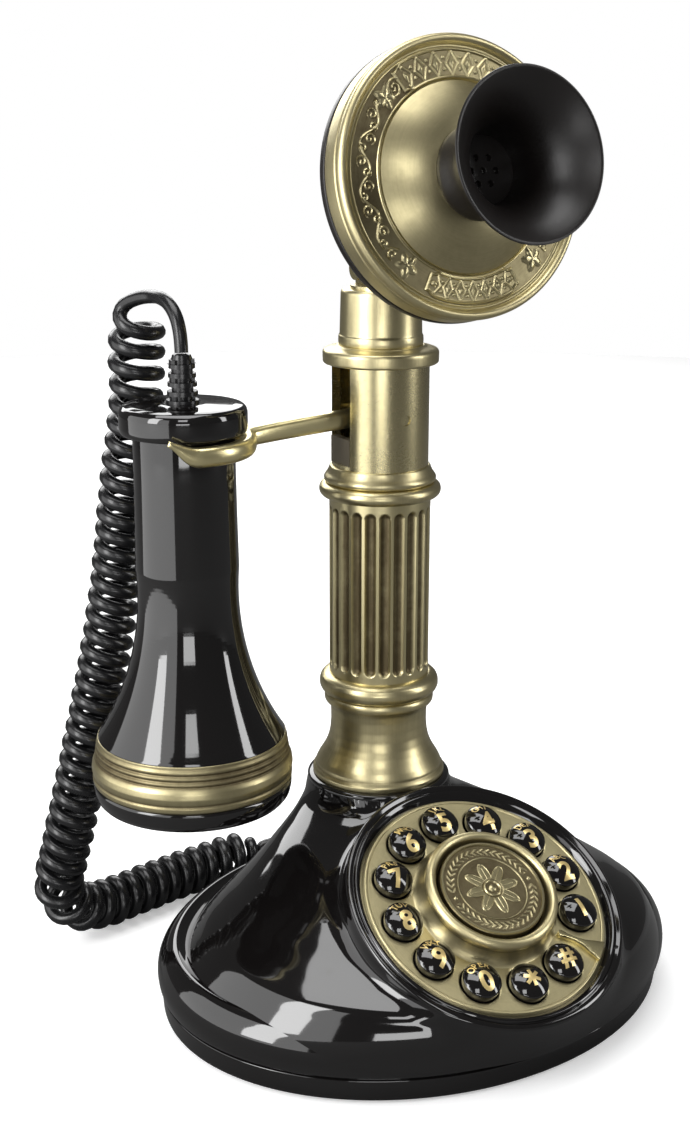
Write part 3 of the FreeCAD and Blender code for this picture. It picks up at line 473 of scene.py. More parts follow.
def make_finishes(colours):
    """Make every material of the telephone once."""
    make_brushing_group()
    make_tarnish_and_shade_group()
    make_dust_group()
    brass, patina = tuple(colours.brass), tuple(colours.patina)
    black, horn = tuple(colours.shell), tuple(colours.horn)
    brass_finish("aged_brass", brass, patina, 0.4, roughness=(0.36, 0.55))
    brass_finish("column_brass", brass, patina, 0.42, roughness=(0.3, 0.52), turn=math.pi / 2)
    brass_finish("column_brass_plain", brass, patina, 0.3, on_uv=False, turn=math.pi / 2)
    brass_finish("hook_brass", tuple(colours.bright_brass), brass, 0.35, on_uv=False, roughness=(0.28, 0.45))
    brass_finish("engraved_brass", tuple(0.8 * part for part in brass), patina, 0.55, roughness=(0.3, 0.55))
    brass_finish("medallion_brass", tuple(0.7 * part for part in brass), patina, 0.4, roughness=(0.3, 0.5))
    brass_finish("polished_brass", tuple(colours.bright_brass), brass, 0.35, on_uv=False,
                 roughness=(0.2, 0.42))
    lacquer = moulded_finish("shell_lacquer", black, (0.009, 0.008, 0.0075), (0.035, 0.2), 0.0, 0.012, 60.0)
    lacquer.node_tree.nodes["Principled BSDF"].inputs["IOR"].default_value = 1.7
    moulded_finish("satin_black", horn, (0.014, 0.011, 0.01), (0.33, 0.5), 0.0, 0.2, 5200.0)
    moulded_finish("cord_jacket", (0.006, 0.006, 0.0065), (0.018, 0.018, 0.019), (0.24, 0.4), 0.0, 0.06,
                   3000.0)
    moulded_finish("dark_metal", (0.25, 0.25, 0.26), (0.4, 0.38, 0.35), (0.3, 0.5), 0.0, 0.1, 2500.0)
    moulded_finish("slot_plastic", (0.09, 0.075, 0.05), (0.16, 0.14, 0.1), (0.4, 0.6), 0.0, 0.1, 2500.0)
    moulded_finish("circuit_board", (0.02, 0.11, 0.05), (0.04, 0.16, 0.08), (0.35, 0.5), 0.2, 0.1, 900.0)
    moulded_finish("black_rubber", (0.02, 0.02, 0.02), (0.05, 0.05, 0.05), (0.6, 0.8), 0.0, 0.3, 2200.0)
    gold = brass_finish("gold_print", (0.95, 0.74, 0.33), (0.75, 0.52, 0.2), 0.3, on_uv=False,
                        roughness=(0.3, 0.5))
    gold.node_tree.nodes["Principled BSDF"].inputs["Metallic"].default_value = 0.75


def dress(piece, material, body, slot, *nodes):
    """Give a piece its material and its body, and hide the CAD nodes it stands for. Its slot is not used."""
    piece.data.materials.clear()
    piece.data.materials.append(bpy.data.materials[material])
    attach(piece, body)
    if nodes:
        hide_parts(*nodes)
    return piece


# ------------------------------------------------------------------------------------------------------------
# Stage
# ------------------------------------------------------------------------------------------------------------


def make_stage(stage):
    """A pale round floor, softboxes and the camera. The floor is a flat disc with its edge let down."""
    flat = stage.floor_radius
    across = np.array([0.0, flat * 0.3, flat * 0.7, flat * 0.99, flat])
    up = np.array([0.0, 0.0, 0.0, 0.0, -0.004])
    angle = np.linspace(0.0, 2 * math.pi, 96, endpoint=False)
    spin, reach = np.meshgrid(angle, across, indexing="ij")
    height = np.broadcast_to(up, spin.shape)
    points = np.stack([reach * np.cos(spin), reach * np.sin(spin), height], axis=-1).reshape(-1, 3)
    sweep = add_mesh("studio_sweep", points, grid_faces(96, len(across), True, False))
    sweep.data.shade_smooth()
    material, tree, shader = new_material("studio_paper")
    tone = noise_node(tree, tree.nodes.new("ShaderNodeTexCoord").outputs["Object"], 3.0)
    tree.links.new(mixed_colour(tree, tone, (0.9, 0.9, 0.9), (0.93, 0.93, 0.93)), shader.inputs["Base Color"])
    shader.inputs["Roughness"].default_value = 0.9
    shader.inputs["Emission Color"].default_value = (1.0, 1.0, 1.0, 1.0)
    shader.inputs["Emission Strength"].default_value = stage.floor_glow
    dull = tree.nodes.new("ShaderNodeBsdfDiffuse")
    dull.inputs["Color"].default_value = (0.16, 0.16, 0.16, 1.0)
    either = tree.nodes.new("ShaderNodeMixShader")
    path = tree.nodes.new("ShaderNodeLightPath")
    tree.links.new(path.outputs["Is Camera Ray"], either.inputs["Fac"])
    tree.links.new(dull.outputs[0], either.inputs[1])
    tree.links.new(shader.outputs[0], either.inputs[2])
    output = next(node for node in tree.nodes if node.type == "OUTPUT_MATERIAL")
    tree.links.new(either.outputs[0], output.inputs["Surface"])
    sweep.data.materials.append(material)

    world = bpy.data.worlds.new("studio")
    world.use_nodes = True
    tree = world.node_tree
    path = tree.nodes.new("ShaderNodeLightPath")
    tree.links.new(mixed_colour(tree, path.outputs["Is Camera Ray"], (stage.room_light,) * 3, (1.0,) * 3),
                   tree.nodes["Background"].inputs["Color"])
    bpy.context.scene.world = world
    aim = Vector((0.0, -0.02, 0.16))
    softboxes = (
        ("side_panel", (-0.5, 0.03, 0.255), (0.8, 0.5), 4.4),
        ("left_softbox", (-1.3, -0.25, 0.7), (0.45, 1.2), 26.0),
        ("right_softbox", (1.1, -0.9, 0.7), (0.28, 1.3), 16.0),
        ("front_softbox", (-0.75, -1.5, 1.1), (0.5, 0.5), 8.0),
        ("low_softbox", (-0.6, -1.15, 0.14), (0.5, 0.22), 4.0),
        ("top_softbox", (-0.1, 0.1, 1.7), (1.2, 1.2), 38.0),
        ("back_softbox", (0.3, 1.5, 0.9), (1.4, 0.7), 26.0),
    )
    for name, place, sides, power in softboxes:
        light = bpy.data.lights.new(name, "AREA")
        light.shape = "RECTANGLE"
        light.size, light.size_y = sides
        light.energy = power * stage.light_power
        lamp = bpy.data.objects.new(name, light)
        lamp.location = place
        lamp.rotation_euler = (aim - Vector(place)).to_track_quat("-Z", "Y").to_euler()
        if name == "side_panel":
            lamp.rotation_euler = (math.radians(90.0), 0.0, math.radians(-90.0))
            lamp.visible_camera = False
        bpy.context.scene.collection.objects.link(lamp)

    camera = bpy.data.cameras.new("camera")
    camera.lens = 51.26
    camera.sensor_width = 36.0
    camera.clip_start = 0.01
    holder = bpy.data.objects.new("camera", camera)
    holder.location = (-0.28955, -0.49043, 0.317574)
    holder.rotation_euler = (math.radians(90.0 - 15.999), 0.0, math.radians(-29.284))
    bpy.context.scene.collection.objects.link(holder)
    bpy.context.scene.camera = holder
    bpy.context.scene.view_settings.view_transform = "Standard"


# ------------------------------------------------------------------------------------------------------------
# Cord
# ------------------------------------------------------------------------------------------------------------


def route_line(points):
    """Return close points along the NURBS curve whose control points are the route."""
    curve = bpy.data.curves.new("cord_route", "CURVE")
    curve.dimensions = "3D"
    curve.resolution_u = 32
    spline = curve.splines.new("NURBS")
    spline.points.add(len(points) - 1)
    spline.points.foreach_set("co", np.column_stack([points, np.ones(len(points))]).ravel())
    spline.order_u = 3
    spline.use_endpoint_u = True
    holder = bpy.data.objects.new("cord_route", curve)
    bpy.context.scene.collection.objects.link(holder)
    graph = bpy.context.evaluated_depsgraph_get()
    mesh = bpy.data.meshes.new_from_object(holder.evaluated_get(graph))
    line = np.empty(len(mesh.vertices) * 3)
    mesh.vertices.foreach_get("co", line)
    bpy.data.objects.remove(holder)
    bpy.data.curves.remove(curve)
    bpy.data.meshes.remove(mesh)
    return line.reshape(-1, 3)


def evenly(line, step):
    """Return points a step apart along a line, and their distances from its start."""
    gaps = np.linalg.norm(np.diff(line, axis=0), axis=1)
    along = np.concatenate([[0.0], np.cumsum(gaps)])
    wanted = np.linspace(0.0, along[-1], int(along[-1] / step) + 1)
    return np.stack([np.interp(wanted, along, line[:, axis]) for axis in range(3)], axis=1), wanted


def carried_frames(line):
    """Return unit vectors ahead, aside and up at every point, carried along the line without twist."""
    ahead = np.gradient(line, axis=0)
    ahead /= np.linalg.norm(ahead, axis=1)[:, None]
    aside = np.zeros_like(line)
    aside[0] = np.cross(ahead[0], [0.0, 1.0, 0.0])
    for index in range(1, len(line)):
        aside[index] = aside[index - 1] - ahead[index] * (aside[index - 1] @ ahead[index])
        aside[index] /= np.linalg.norm(aside[index])
    return ahead, aside, np.cross(ahead, aside)


FRONT_LEFT, FRONT_NEAR = np.array([-0.872, 0.489, 0.0]), np.array([-0.489, -0.872, 0.0])
ROUTE_STEP = 0.25 * MM


def coil_line(sizes):
    """Return the cord's own centre line and its half thickness: the route, wound into turns between its ends.

    A point is route + R(s) (cos p aside + sin p up), where aside and up are square to the route and the phase p
    grows by 2 pi over each pitch. The winding starts at the left of the first bend.
    """
    line, along = evenly(route_line(CORD_ROUTE), ROUTE_STEP)
    ahead, aside, up = carried_frames(line)
    start, end = sizes.lead_length, along[-1] - sizes.tail_length
    wound = smooth_step(along, start - 0.026, start - 0.005) * (1 - smooth_step(along, end - 0.008,
                                                                                end + 0.008))
    curl = (sizes.curl_diameter - sizes.cord_diameter) / 2
    first = int(np.searchsorted(along, start))
    begin = math.atan2(FRONT_LEFT @ up[first], FRONT_LEFT @ aside[first])
    sense = np.sign(FRONT_NEAR @ (math.cos(begin) * up[first] - math.sin(begin) * aside[first]))
    bend = np.linalg.norm(np.gradient(ahead, axis=0), axis=1) / ROUTE_STEP
    bend = np.convolve(bend, np.ones(41) / 41, mode="same")
    loose = 1.0 + 0.22 * (1 - smooth_step(along, start, start + 0.04)) + 0.04 * np.sin(along * 90)
    pitch = np.maximum(sizes.curl_pitch * loose, 1.04 * sizes.cord_diameter / np.clip(1 - bend * curl, 0.35,
                                                                                      1.0))
    turning = smooth_step(along, start - 0.013, start - 0.004)
    phase = begin + sense * np.cumsum(turning * 2 * math.pi / pitch * ROUTE_STEP)
    wobble = 1 + 0.05 * (1 - smooth_step(along, start, start + 0.03)) + 0.015 * np.sin(phase * 0.37)
    reach = (curl * wound * wobble)[:, None]
    coils = line + reach * (np.cos(phase)[:, None] * aside + np.sin(phase)[:, None] * up)
    gaps = np.concatenate([[0.0], np.cumsum(np.linalg.norm(np.diff(coils, axis=0), axis=1))])
    points, places = evenly(coils, sizes.cord_diameter * 0.4)
    return points, sizes.cord_diameter * (0.47 + 0.05 * np.interp(places, gaps, wound))


def make_cord(sizes):
    """The curly cord as one tube from the earpiece's strain relief to the bushing behind the base."""
    line, half = coil_line(sizes)
    _, aside, up = carried_frames(line)
    sides = 12
    angle = np.linspace(0.0, 2 * math.pi, sides, endpoint=False)
    ring = line[:, None] + half[:, None, None] * (
        np.cos(angle)[None, :, None] * aside[:, None] + np.sin(angle)[None, :, None] * up[:, None]
    )
    faces = [tuple(face) for face in grid_faces(len(line), sides, False, True)]
    last = (len(line) - 1) * sides
    faces += [tuple(range(sides)), tuple(range(last, last + sides))]
    cord = tidy_normals(add_mesh("receiver_cord", ring.reshape(-1, 3), faces), smooth_angle=70.0)
    cord.data.materials.append(bpy.data.materials["cord_jacket"])
    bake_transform(cord)
    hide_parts("curly_cord", "cord_lead", "cord_tail")
    length = float(np.linalg.norm(np.diff(line, axis=0), axis=1).sum())
    print(f"receiver cord: {length:.2f} m from end to end")


# ------------------------------------------------------------------------------------------------------------
# Base
# ------------------------------------------------------------------------------------------------------------

BELT_CENTRE_Y = -27.6
BELT_HALF_WIDTH, BELT_HALF_DEPTH = 98.0, 80.1
DOME_HEIGHTS = (10.0, 14.0, 20.0, 26.0, 30.0, 34.0, 38.0, 42.0, 46.0, 50.0, 54.0, 58.0, 62.0, 66.0, 70.0,
                74.0, 78.0)
DOME_WIDTHS = (96.0, 95.1, 93.2, 89.3, 86.4, 83.0, 77.3, 71.3, 66.1, 60.7, 54.4, 48.2, 39.4, 31.0, 27.6,
               26.6, 26.4)
DOME_CENTRES = (
    -28.0, -28.7, -31.2, -34.3, -35.6, -36.5, -34.4, -31.8, -30.0, -27.7, -23.6, -20.0, -12.8, -4.6, -0.6,
    0.0, 0.0)
DOME_RATIOS = (
    0.86, 0.86, 0.86, 0.86, 0.86, 0.86, 0.86, 0.86, 0.86, 0.86, 0.86, 0.87, 0.9, 0.96, 1.0, 1.0, 1.0)
RAY_DEPTH = 58.3


def eased(value, knots, values):
    """Return a smooth curve through knots: cubic pieces, each knot's slope being that of its neighbours."""
    knots, values = np.asarray(knots), np.asarray(values)
    slopes = np.gradient(values, knots)
    value = np.clip(value, knots[0], knots[-1])
    index = np.clip(np.searchsorted(knots, value) - 1, 0, len(knots) - 2)
    gap = knots[index + 1] - knots[index]
    share = (value - knots[index]) / gap
    return (values[index] * (1 + 2 * share) * (1 - share) ** 2
            + slopes[index] * gap * share * (1 - share) ** 2
            + values[index + 1] * share ** 2 * (3 - 2 * share)
            + slopes[index + 1] * gap * share ** 2 * (share - 1))


def dome_field(points):
    """Return how far points lie outside the dome with its dial pod, less the dial's recess, in millimetres.

    The dome's level cuts are ellipses. The pod is a drum about the dial's axis with a groove round its rim. The
    two meet in a soft hollow, and the recess is a drafted well cut from both.
    """
    x, y, z = points[..., 0], points[..., 1], points[..., 2]
    width = eased(z, DOME_HEIGHTS, DOME_WIDTHS)
    depth = width * eased(z, DOME_HEIGHTS, DOME_RATIOS)
    dome = (np.hypot(x / width, (y - eased(z, DOME_HEIGHTS, DOME_CENTRES)) / depth) - 1) * depth * 0.8
    sine, cosine = math.sin(DIAL_TILT), math.cos(DIAL_TILT)
    forward, above = y + 75.5, z - 55.3
    level = -sine * forward + cosine * above
    spread = np.hypot(x, cosine * forward + sine * above)
    rim = -2.4 - 0.9 * np.exp(-((spread - 47.6) / 0.55) ** 2)
    pod = soft_max(spread - 50.0, level - rim, 1.6)
    dome = soft_max(dome, z - 74.3, 0.8)
    whole = soft_min(dome, pod, 5.0)
    recess_and_shade = np.maximum(spread - (42.2 + (level + 6.7) * 0.86), -(level + 6.7))
    return soft_max(whole, -recess_and_shade, 0.7)


def make_base_dome():
    """The dome and pod: on each ray from a point on the dial's axis, the farthest place where the field is 0.

    Rays fan out from the axis in rings, close together across the recess wall and the pod's rim.
    """
    rounds = 420
    turn = np.linspace(0.0, 2 * math.pi, rounds, endpoint=False)
    sine, cosine = math.sin(DIAL_TILT), math.cos(DIAL_TILT)
    normal, across, along = np.array([0, -sine, cosine]), np.array([1.0, 0, 0]), np.array([0, cosine, sine])
    steep = np.hypot(cosine, np.sin(turn) * sine)
    last = np.arctan2(np.sin(turn) * sine, cosine) + np.arccos(np.sin(math.radians(7.0)) / steep)
    near = np.radians(np.concatenate([np.linspace(34.0, 38.6, 4), np.linspace(38.9, 44.5, 62)]))
    share = np.linspace(0.0, 1.0, 160)[1:] ** 1.15
    angle = np.concatenate([np.repeat(near[:, None], rounds, axis=1),
                            near[-1] + share[:, None] * (last - near[-1])])
    ray = (np.cos(angle)[..., None] * normal
           + np.sin(angle)[..., None] * (np.cos(turn)[None, :, None] * across + np.sin(turn)[None, :,
                                                                                             None] * along))
    start = np.array([0.0, -75.5, 55.3]) - RAY_DEPTH * normal
    reaches = np.linspace(8.0, 128.0, 121)
    inside = np.stack([dome_field(start + ray * reach) < 0 for reach in reaches])
    far = len(reaches) - 1 - np.argmax(inside[::-1], axis=0)
    low = reaches[far]
    high = low + 1.0
    for _ in range(26):
        middle_reach = (low + high) / 2
        held = dome_field(start + ray * middle_reach[..., None]) < 0
        low, high = np.where(held, middle_reach, low), np.where(held, high, middle_reach)
    points = (start + ray * low[..., None]).reshape(-1, 3) * MM
    faces = grid_faces(len(angle), rounds, False, True)
    dome = tidy_normals(add_mesh("base_dome", points, faces), smooth_angle=50.0)
    return dress(dome, "shell_lacquer", "base", "gloss_shell", "base_shell")


def make_base_belt():
    """The belt round the foot: a rounded profile carried round an ellipse, with a parting line."""
    outline = [
        (-9.0, 2.0), (-3.4, 1.2), (-2.0, 1.3), (-1.5, 2.4), (-0.9, 8.9), (-1.0, 9.5), (-1.9, 9.7),
        (-1.9, 10.5),
        (-0.4, 10.6), (0.1, 12.0), (0.6, 14.8), (0.6, 17.4), (0.0, 20.0), (-1.4, 22.8), (-3.4, 25.0),
        (-5.2, 26.2),
        (-6.2, 26.4), (-7.4, 25.6), (-12.0, 24.0),
    ]
    profile = rounded(outline, 1.2, closed=False)
    turn = np.linspace(0.0, 2 * math.pi, 560, endpoint=False)
    spin, out = np.meshgrid(turn, profile[:, 0], indexing="ij")
    up = np.broadcast_to(profile[:, 1], spin.shape)
    centre = BELT_CENTRE_Y - 0.05 * (up - 14.0)
    x = (BELT_HALF_WIDTH + out) * np.cos(spin)
    y = centre + (BELT_HALF_DEPTH + out) * np.sin(spin)
    points = np.stack([x, y, up], axis=-1).reshape(-1, 3) * MM
    belt = tidy_normals(add_mesh("base_belt", points, grid_faces(len(turn), len(profile), True, False)),
                        smooth_angle=55.0)
    return dress(belt, "shell_lacquer", "base", "gloss_shell")


# ------------------------------------------------------------------------------------------------------------
# Dial
# ------------------------------------------------------------------------------------------------------------

BUTTON_CIRCLE, BUTTON_RADIUS, CROWN_RADIUS = 33.5, 6.75, 10.1
BUTTON_STEP, FIRST_BUTTON = math.radians(29.12), math.radians(-24.7)
PLATE_LEVEL, BUTTON_TOP = -4.2, 1.2


def dish(reach):
    """Return the plate's height at a radius: a slight hollow towards the bezel that fades to nothing."""
    return -0.35 * (1 - smooth_step(reach, 27.0, 40.0))


def make_dial_plate():
    """The plate: one four-sided patch round each button hole, a plain patch at the finger stop and a rim.

    In a patch, each point goes straight from the hole's edge to the patch's edge, and takes the dish's height.
    """
    half = BUTTON_STEP / 2
    hole = BUTTON_RADIUS + 0.3
    side = np.linspace(0.0, 1.0, 15)[:-1]
    inner, outer = 20.6, 42.3
    swing = np.concatenate([-half + 2 * half * side, np.full(14, half), half - 2 * half * side,
                            np.full(14, -half)])
    reach = np.concatenate([np.full(14, inner), inner + (outer - inner) * side, np.full(14, outer),
                            outer - (outer - inner) * side])
    edge = np.stack([reach * np.cos(swing) - BUTTON_CIRCLE, reach * np.sin(swing)], axis=-1)
    aim = edge / np.linalg.norm(edge, axis=1)[:, None]
    rings = [aim * hole, aim * hole, aim * (hole + 0.12), aim * (hole + 0.4)]
    drops = [-2.4, -0.45, -0.12, 0.0]
    for share in np.linspace(0.0, 1.0, 10)[1:]:
        rings.append(aim * (hole + 0.4) * (1 - share) + edge * share)
        drops.append(0.0)
    patch = np.stack(rings)
    patch[..., 0] += BUTTON_CIRCLE
    drop = np.repeat(np.array(drops)[:, None], len(aim), axis=1)
    wells = smooth_step(-drop, 0.05, 0.5)
    points, marks, faces = [], [], []
    patch_faces = grid_faces(len(rings), len(aim), False, True)
    for index in range(len(BUTTONS)):
        turn = FIRST_BUTTON + index * BUTTON_STEP
        x = patch[..., 0] * math.cos(turn) - patch[..., 1] * math.sin(turn)
        y = patch[..., 0] * math.sin(turn) + patch[..., 1] * math.cos(turn)
        points.append(np.stack([x, y, dish(np.hypot(x, y)) + drop], axis=-1).reshape(-1, 3))
        faces.append(patch_faces + index * len(rings) * len(aim))
        marks.append(wells.ravel())
    count = len(points) * len(rings) * len(aim)
    gap = np.linspace(FIRST_BUTTON + 11 * BUTTON_STEP + half, FIRST_BUTTON + 2 * math.pi - half, 9)
    spin, reach = np.meshgrid(gap, np.linspace(inner, outer, 15), indexing="ij")
    points.append(np.stack([reach * np.cos(spin), reach * np.sin(spin), dish(reach)], axis=-1).reshape(-1, 3))
    marks.append(np.zeros(reach.size))
    faces.append(grid_faces(9, 15, False, False) + count)
    points = np.concatenate(points)
    uv = np.stack([np.arctan2(points[:, 0], points[:, 1]) * 34.0, np.hypot(points[:, 0], points[:, 1])],
                  axis=-1) * MM
    field = add_mesh("dial_field", points * MM, np.concatenate(faces), PLATE_PLACE, uv,
                     {"recess_and_shade": np.concatenate(marks)})
    tidy_normals(field, merge=2e-5)
    dress(field, "aged_brass", "base", "antique_brass", "dial_plate")
    rim = spun("dial_rim", [(41.8, -0.4), (42.2, 0.0), (42.45, 0.3), (43.2, 0.3), (43.9, -0.5),
                            (43.9, -2.4), (41.8, -2.4)],
               PLATE_PLACE, 320, 0.15)
    dress(rim, "aged_brass", "base", "antique_brass")
    well = spun("dial_well", [(0.0, -2.3), (46.0, -2.3), (46.0, -3.0), (0.0, -3.0)], PLATE_PLACE, 96,
                closed=False)
    dress(well, "satin_black", "base", "gloss_shell")


def crown(reach):
    """Return the height of a button's crown above the plate's top at a distance from the button's middle."""
    top = BUTTON_TOP - PLATE_LEVEL
    return top - CROWN_RADIUS + np.sqrt(CROWN_RADIUS ** 2 - np.minimum(reach, BUTTON_RADIUS) ** 2)


def lettering(text, size, weight):
    """Return the flat triangles of a text in millimetres, cut along a grid so that they can follow a dome."""
    curve = bpy.data.curves.new("lettering", "FONT")
    curve.body, curve.size, curve.offset = text, size, weight
    curve.align_x, curve.align_y = "CENTER", "CENTER"
    curve.resolution_u = 5
    holder = bpy.data.objects.new("lettering", curve)
    bpy.context.scene.collection.objects.link(holder)
    graph = bpy.context.evaluated_depsgraph_get()
    mesh = bpy.data.meshes.new_from_object(holder.evaluated_get(graph))
    work = bmesh.new()
    work.from_mesh(mesh)
    reach = size * 0.6 * max(1, len(text))
    for axis in (Vector((1, 0, 0)), Vector((0, 1, 0))):
        for place in np.arange(-reach, reach, 0.7):
            bmesh.ops.bisect_plane(work, geom=work.verts[:] + work.edges[:] + work.faces[:],
                                   plane_co=axis * place, plane_no=axis)
    bmesh.ops.triangulate(work, faces=work.faces)
    work.verts.index_update()
    points = np.array([vertex.co for vertex in work.verts]).reshape(-1, 3)
    faces = np.array([[vertex.index for vertex in face.verts] for face in work.faces]).reshape(-1, 3)
    work.free()
    bpy.data.objects.remove(holder)
    bpy.data.curves.remove(curve)
    bpy.data.meshes.remove(mesh)
    return points, faces


def bar_star(length, width):
    """Return three flat bars crossed at sixths of a turn, as a grid of quads."""
    along, side = np.meshgrid(np.linspace(-0.5, 0.5, 15) * length, np.linspace(-0.5, 0.5, 4) * width,
                              indexing="ij")
    points, faces = [], []
    for index in range(3):
        turn = math.pi / 2 + index * math.pi / 3
        x = along * math.cos(turn) - side * math.sin(turn)
        y = along * math.sin(turn) + side * math.cos(turn)
        points.append(np.stack([x, y, 0.01 * index + 0 * x], axis=-1).reshape(-1, 3))
        faces.append(grid_faces(15, 4, False, False) + 60 * index)
    return np.concatenate(points), np.concatenate(faces)


def button_marks(name):
    """Return the digit and the small letters on an arc above it, as flat triangles."""
    if name == "star":
        points, faces = bar_star(6.0, 1.25)
    else:
        points, faces = lettering(SIGNS.get(name, name), 9.6, 0.3)
    points = points - (points.max(axis=0) + points.min(axis=0)) / 2
    points[:, 1] -= 1.5 if name in LETTERS else 0.1
    parts, count = [(points, faces.tolist())], len(points)
    letters = LETTERS.get(name, "")
    for index, letter in enumerate(letters):
        lean = -(index - (len(letters) - 1) / 2) * 0.47
        small, triangles = lettering(letter, 3.3, 0.07)
        small[:, 1] += 4.6
        x = small[:, 0] * math.cos(lean) - small[:, 1] * math.sin(lean)
        y = small[:, 0] * math.sin(lean) + small[:, 1] * math.cos(lean)
        parts.append((np.stack([x, y, small[:, 2]], axis=-1), (triangles + count).tolist()))
        count += len(small)
    return np.concatenate([part[0] for part in parts]), [face for part in parts for face in part[1]]


def make_buttons():
    """Twelve domed keys, each with its gold digit and letters laid on the dome."""
    for index, name in enumerate(BUTTONS):
        turn = FIRST_BUTTON + index * BUTTON_STEP
        x, y = BUTTON_CIRCLE * math.cos(turn), BUTTON_CIRCLE * math.sin(turn)
        place = PLATE_PLACE @ Matrix.Translation((x * MM, y * MM, 0.0))
        reach = np.linspace(0.0, BUTTON_RADIUS - 0.35, 18)
        edge = crown(np.array(BUTTON_RADIUS - 0.05))
        outline = [(r, float(crown(r))) for r in reach] + [(BUTTON_RADIUS - 0.03, edge - 0.15),
                                                           (BUTTON_RADIUS, edge - 0.6),
                                                          (BUTTON_RADIUS, -3.0), (0.0, -3.0)]
        key = spun(f"key_top_{name}", outline, place, 56, 0.12, closed=False)
        dress(key, "shell_lacquer", f"key_{name}", "gloss_shell", f"button_{name}")
        points, faces = button_marks(name)
        reach = np.hypot(points[:, 0], points[:, 1])
        points[:, 2] = crown(reach) + 0.05
        mark = add_mesh(f"key_mark_{name}", points * MM, faces, place)
        mark.data.shade_smooth()
        dress(mark, "gold_print", f"key_{name}", "bright_brass")


def medallion_relief(spin, across, up):
    """Raised rims, a wreath of leaves and a rosette: bumps of |cos| and smooth steps in angle and radius."""
    top = up > 7.0
    rims = 0.6 * (smooth_step(across, 17.5, 17.8) - smooth_step(across, 18.5, 18.75))
    rims += 0.3 * (smooth_step(across, 12.1, 12.25) - smooth_step(across, 12.6, 12.75))
    sway = spin * 20 + 1.5 * np.abs(across - 15.0)
    leaves = np.clip(np.abs(np.cos(sway)) - 0.5, 0, 1) * 0.6
    leaves *= smooth_step(across, 13.4, 13.8) * (1 - smooth_step(across, 16.2, 16.7))
    beside = np.minimum(np.abs(np.cos(spin / 2)), np.abs(np.sin(spin / 2))) * 2 * 15.0
    stud = np.sqrt(np.clip(1 - (beside / 0.8) ** 2 - ((across - 15.0) / 0.8) ** 2, 0, 1)) * 0.6
    leaves = np.where(beside < 2.2, stud, leaves)
    tip = np.abs(np.cos(spin * 4))
    outer_line = ridge(across - 4.6 - 5.4 * tip ** 1.3, 0.5 + 0.5 * (1 - tip)) * smooth_step(across, 3.6, 4.2)
    vein = ridge(np.sin(spin * 4) * across / 4, 0.28) * smooth_step(across, 3.4, 4.0)
    vein *= 1 - smooth_step(across, 8.0, 9.2)
    fill = np.clip(4.6 + 5.4 * tip ** 1.3 - across, 0, 0.8) / 0.8 * 0.22
    rosette = np.maximum.reduce([0.42 * outer_line, 0.38 * vein, fill * smooth_step(across, 3.4, 4.0)])
    heart = 0.6 * ridge(across - 2.9, 0.55) + 0.7 * np.sqrt(np.clip(1 - (across / 1.5) ** 2, 0, 1))
    height = np.where(top, rims + leaves + rosette + heart, 0.0)
    ground = np.where(top, 0.75 * (1 - smooth_step(height, 0.02, 0.3)) - 0.6 * smooth_step(height, 0.3,
                                                                                           0.55), 1.0)
    return 0.0, height - np.where(top, 0.5, 0.0), ground


def make_dial_trim():
    """The bezel round the medallion, the medallion with its ornament, and the flared finger stop."""
    bezel = spun("dial_ring", [
        (18.9, 3.0), (18.9, -1.0), (26.3, -1.0), (26.3, -0.45), (25.6, -0.2), (24.9, 0.25), (24.2, 1.0),
        (23.5, 2.2),
        (23.0, 3.6), (22.8, 5.0), (23.3, 5.5), (23.8, 6.3), (23.95, 7.3), (23.7, 8.4), (23.0, 9.3),
        (22.1, 9.75),
        (21.3, 9.6), (20.6, 9.0), (20.2, 8.0), (20.1, 6.8), (19.7, 6.0), (19.2, 5.6), (19.0, 3.0),
    ], PLATE_PLACE, 256, 0.6, aged=True)
    dress(bezel, "aged_brass", "base", "bright_brass", "dial_bezel")
    reach = np.concatenate([np.linspace(0.0, 18.5, 130), [18.7, 18.8]])
    outline = [(float(r), 8.9) for r in reach] + [(18.8, 1.0), (0.0, 1.0)]
    medallion = spun("dial_medal", outline, PLATE_PLACE, 512, 0.0, closed=False, relief=medallion_relief)
    dress(medallion, "medallion_brass", "base", "antique_brass", "dial_medallion")
    turn = FIRST_BUTTON - BUTTON_STEP / 2 - (2 * math.pi - 12 * BUTTON_STEP) / 2
    reach = np.linspace(26.8, 43.0, 30)
    share = (reach - 26.8) / 16.2
    path = np.stack([reach * math.cos(turn), reach * math.sin(turn), 0.8 + dish(reach)], axis=-1) * MM
    width = (1.5 - 0.9 * np.sin(math.pi * np.clip(share * 1.25, 0,
                                                  1)) + 2.6 * share ** 3) * np.minimum(1, 0.4 + share * 12)
    sizes = np.stack([width, np.full(30, 1.35)], axis=-1) * MM
    points, faces = swept(path, sizes, 28, 3.4)
    stop = tidy_normals(add_mesh("finger_bar", points, faces, PLATE_PLACE), smooth_angle=50.0)
    dress(stop, "polished_brass", "base", "bright_brass", "finger_stop")


# ------------------------------------------------------------------------------------------------------------
# Column
# ------------------------------------------------------------------------------------------------------------

FLUTES = 22


def arc(start, end, radius, count=16):
    """Return points on the arc of a radius from start to end that turns to the right."""
    start, end = np.array(start, float), np.array(end, float)
    chord = end - start
    length = np.linalg.norm(chord)
    right = np.array([chord[1], -chord[0]]) / length
    centre = (start + end) / 2 + right * math.sqrt(radius ** 2 - length ** 2 / 4)
    first, last = start - centre, end - centre
    begin = math.atan2(first[1], first[0])
    sweep = (math.atan2(last[1], last[0]) - begin + math.pi) % (2 * math.pi) - math.pi
    swing = np.linspace(begin, begin + sweep, count)
    return [(centre[0] + radius * math.cos(a), centre[1] + radius * math.sin(a)) for a in swing]


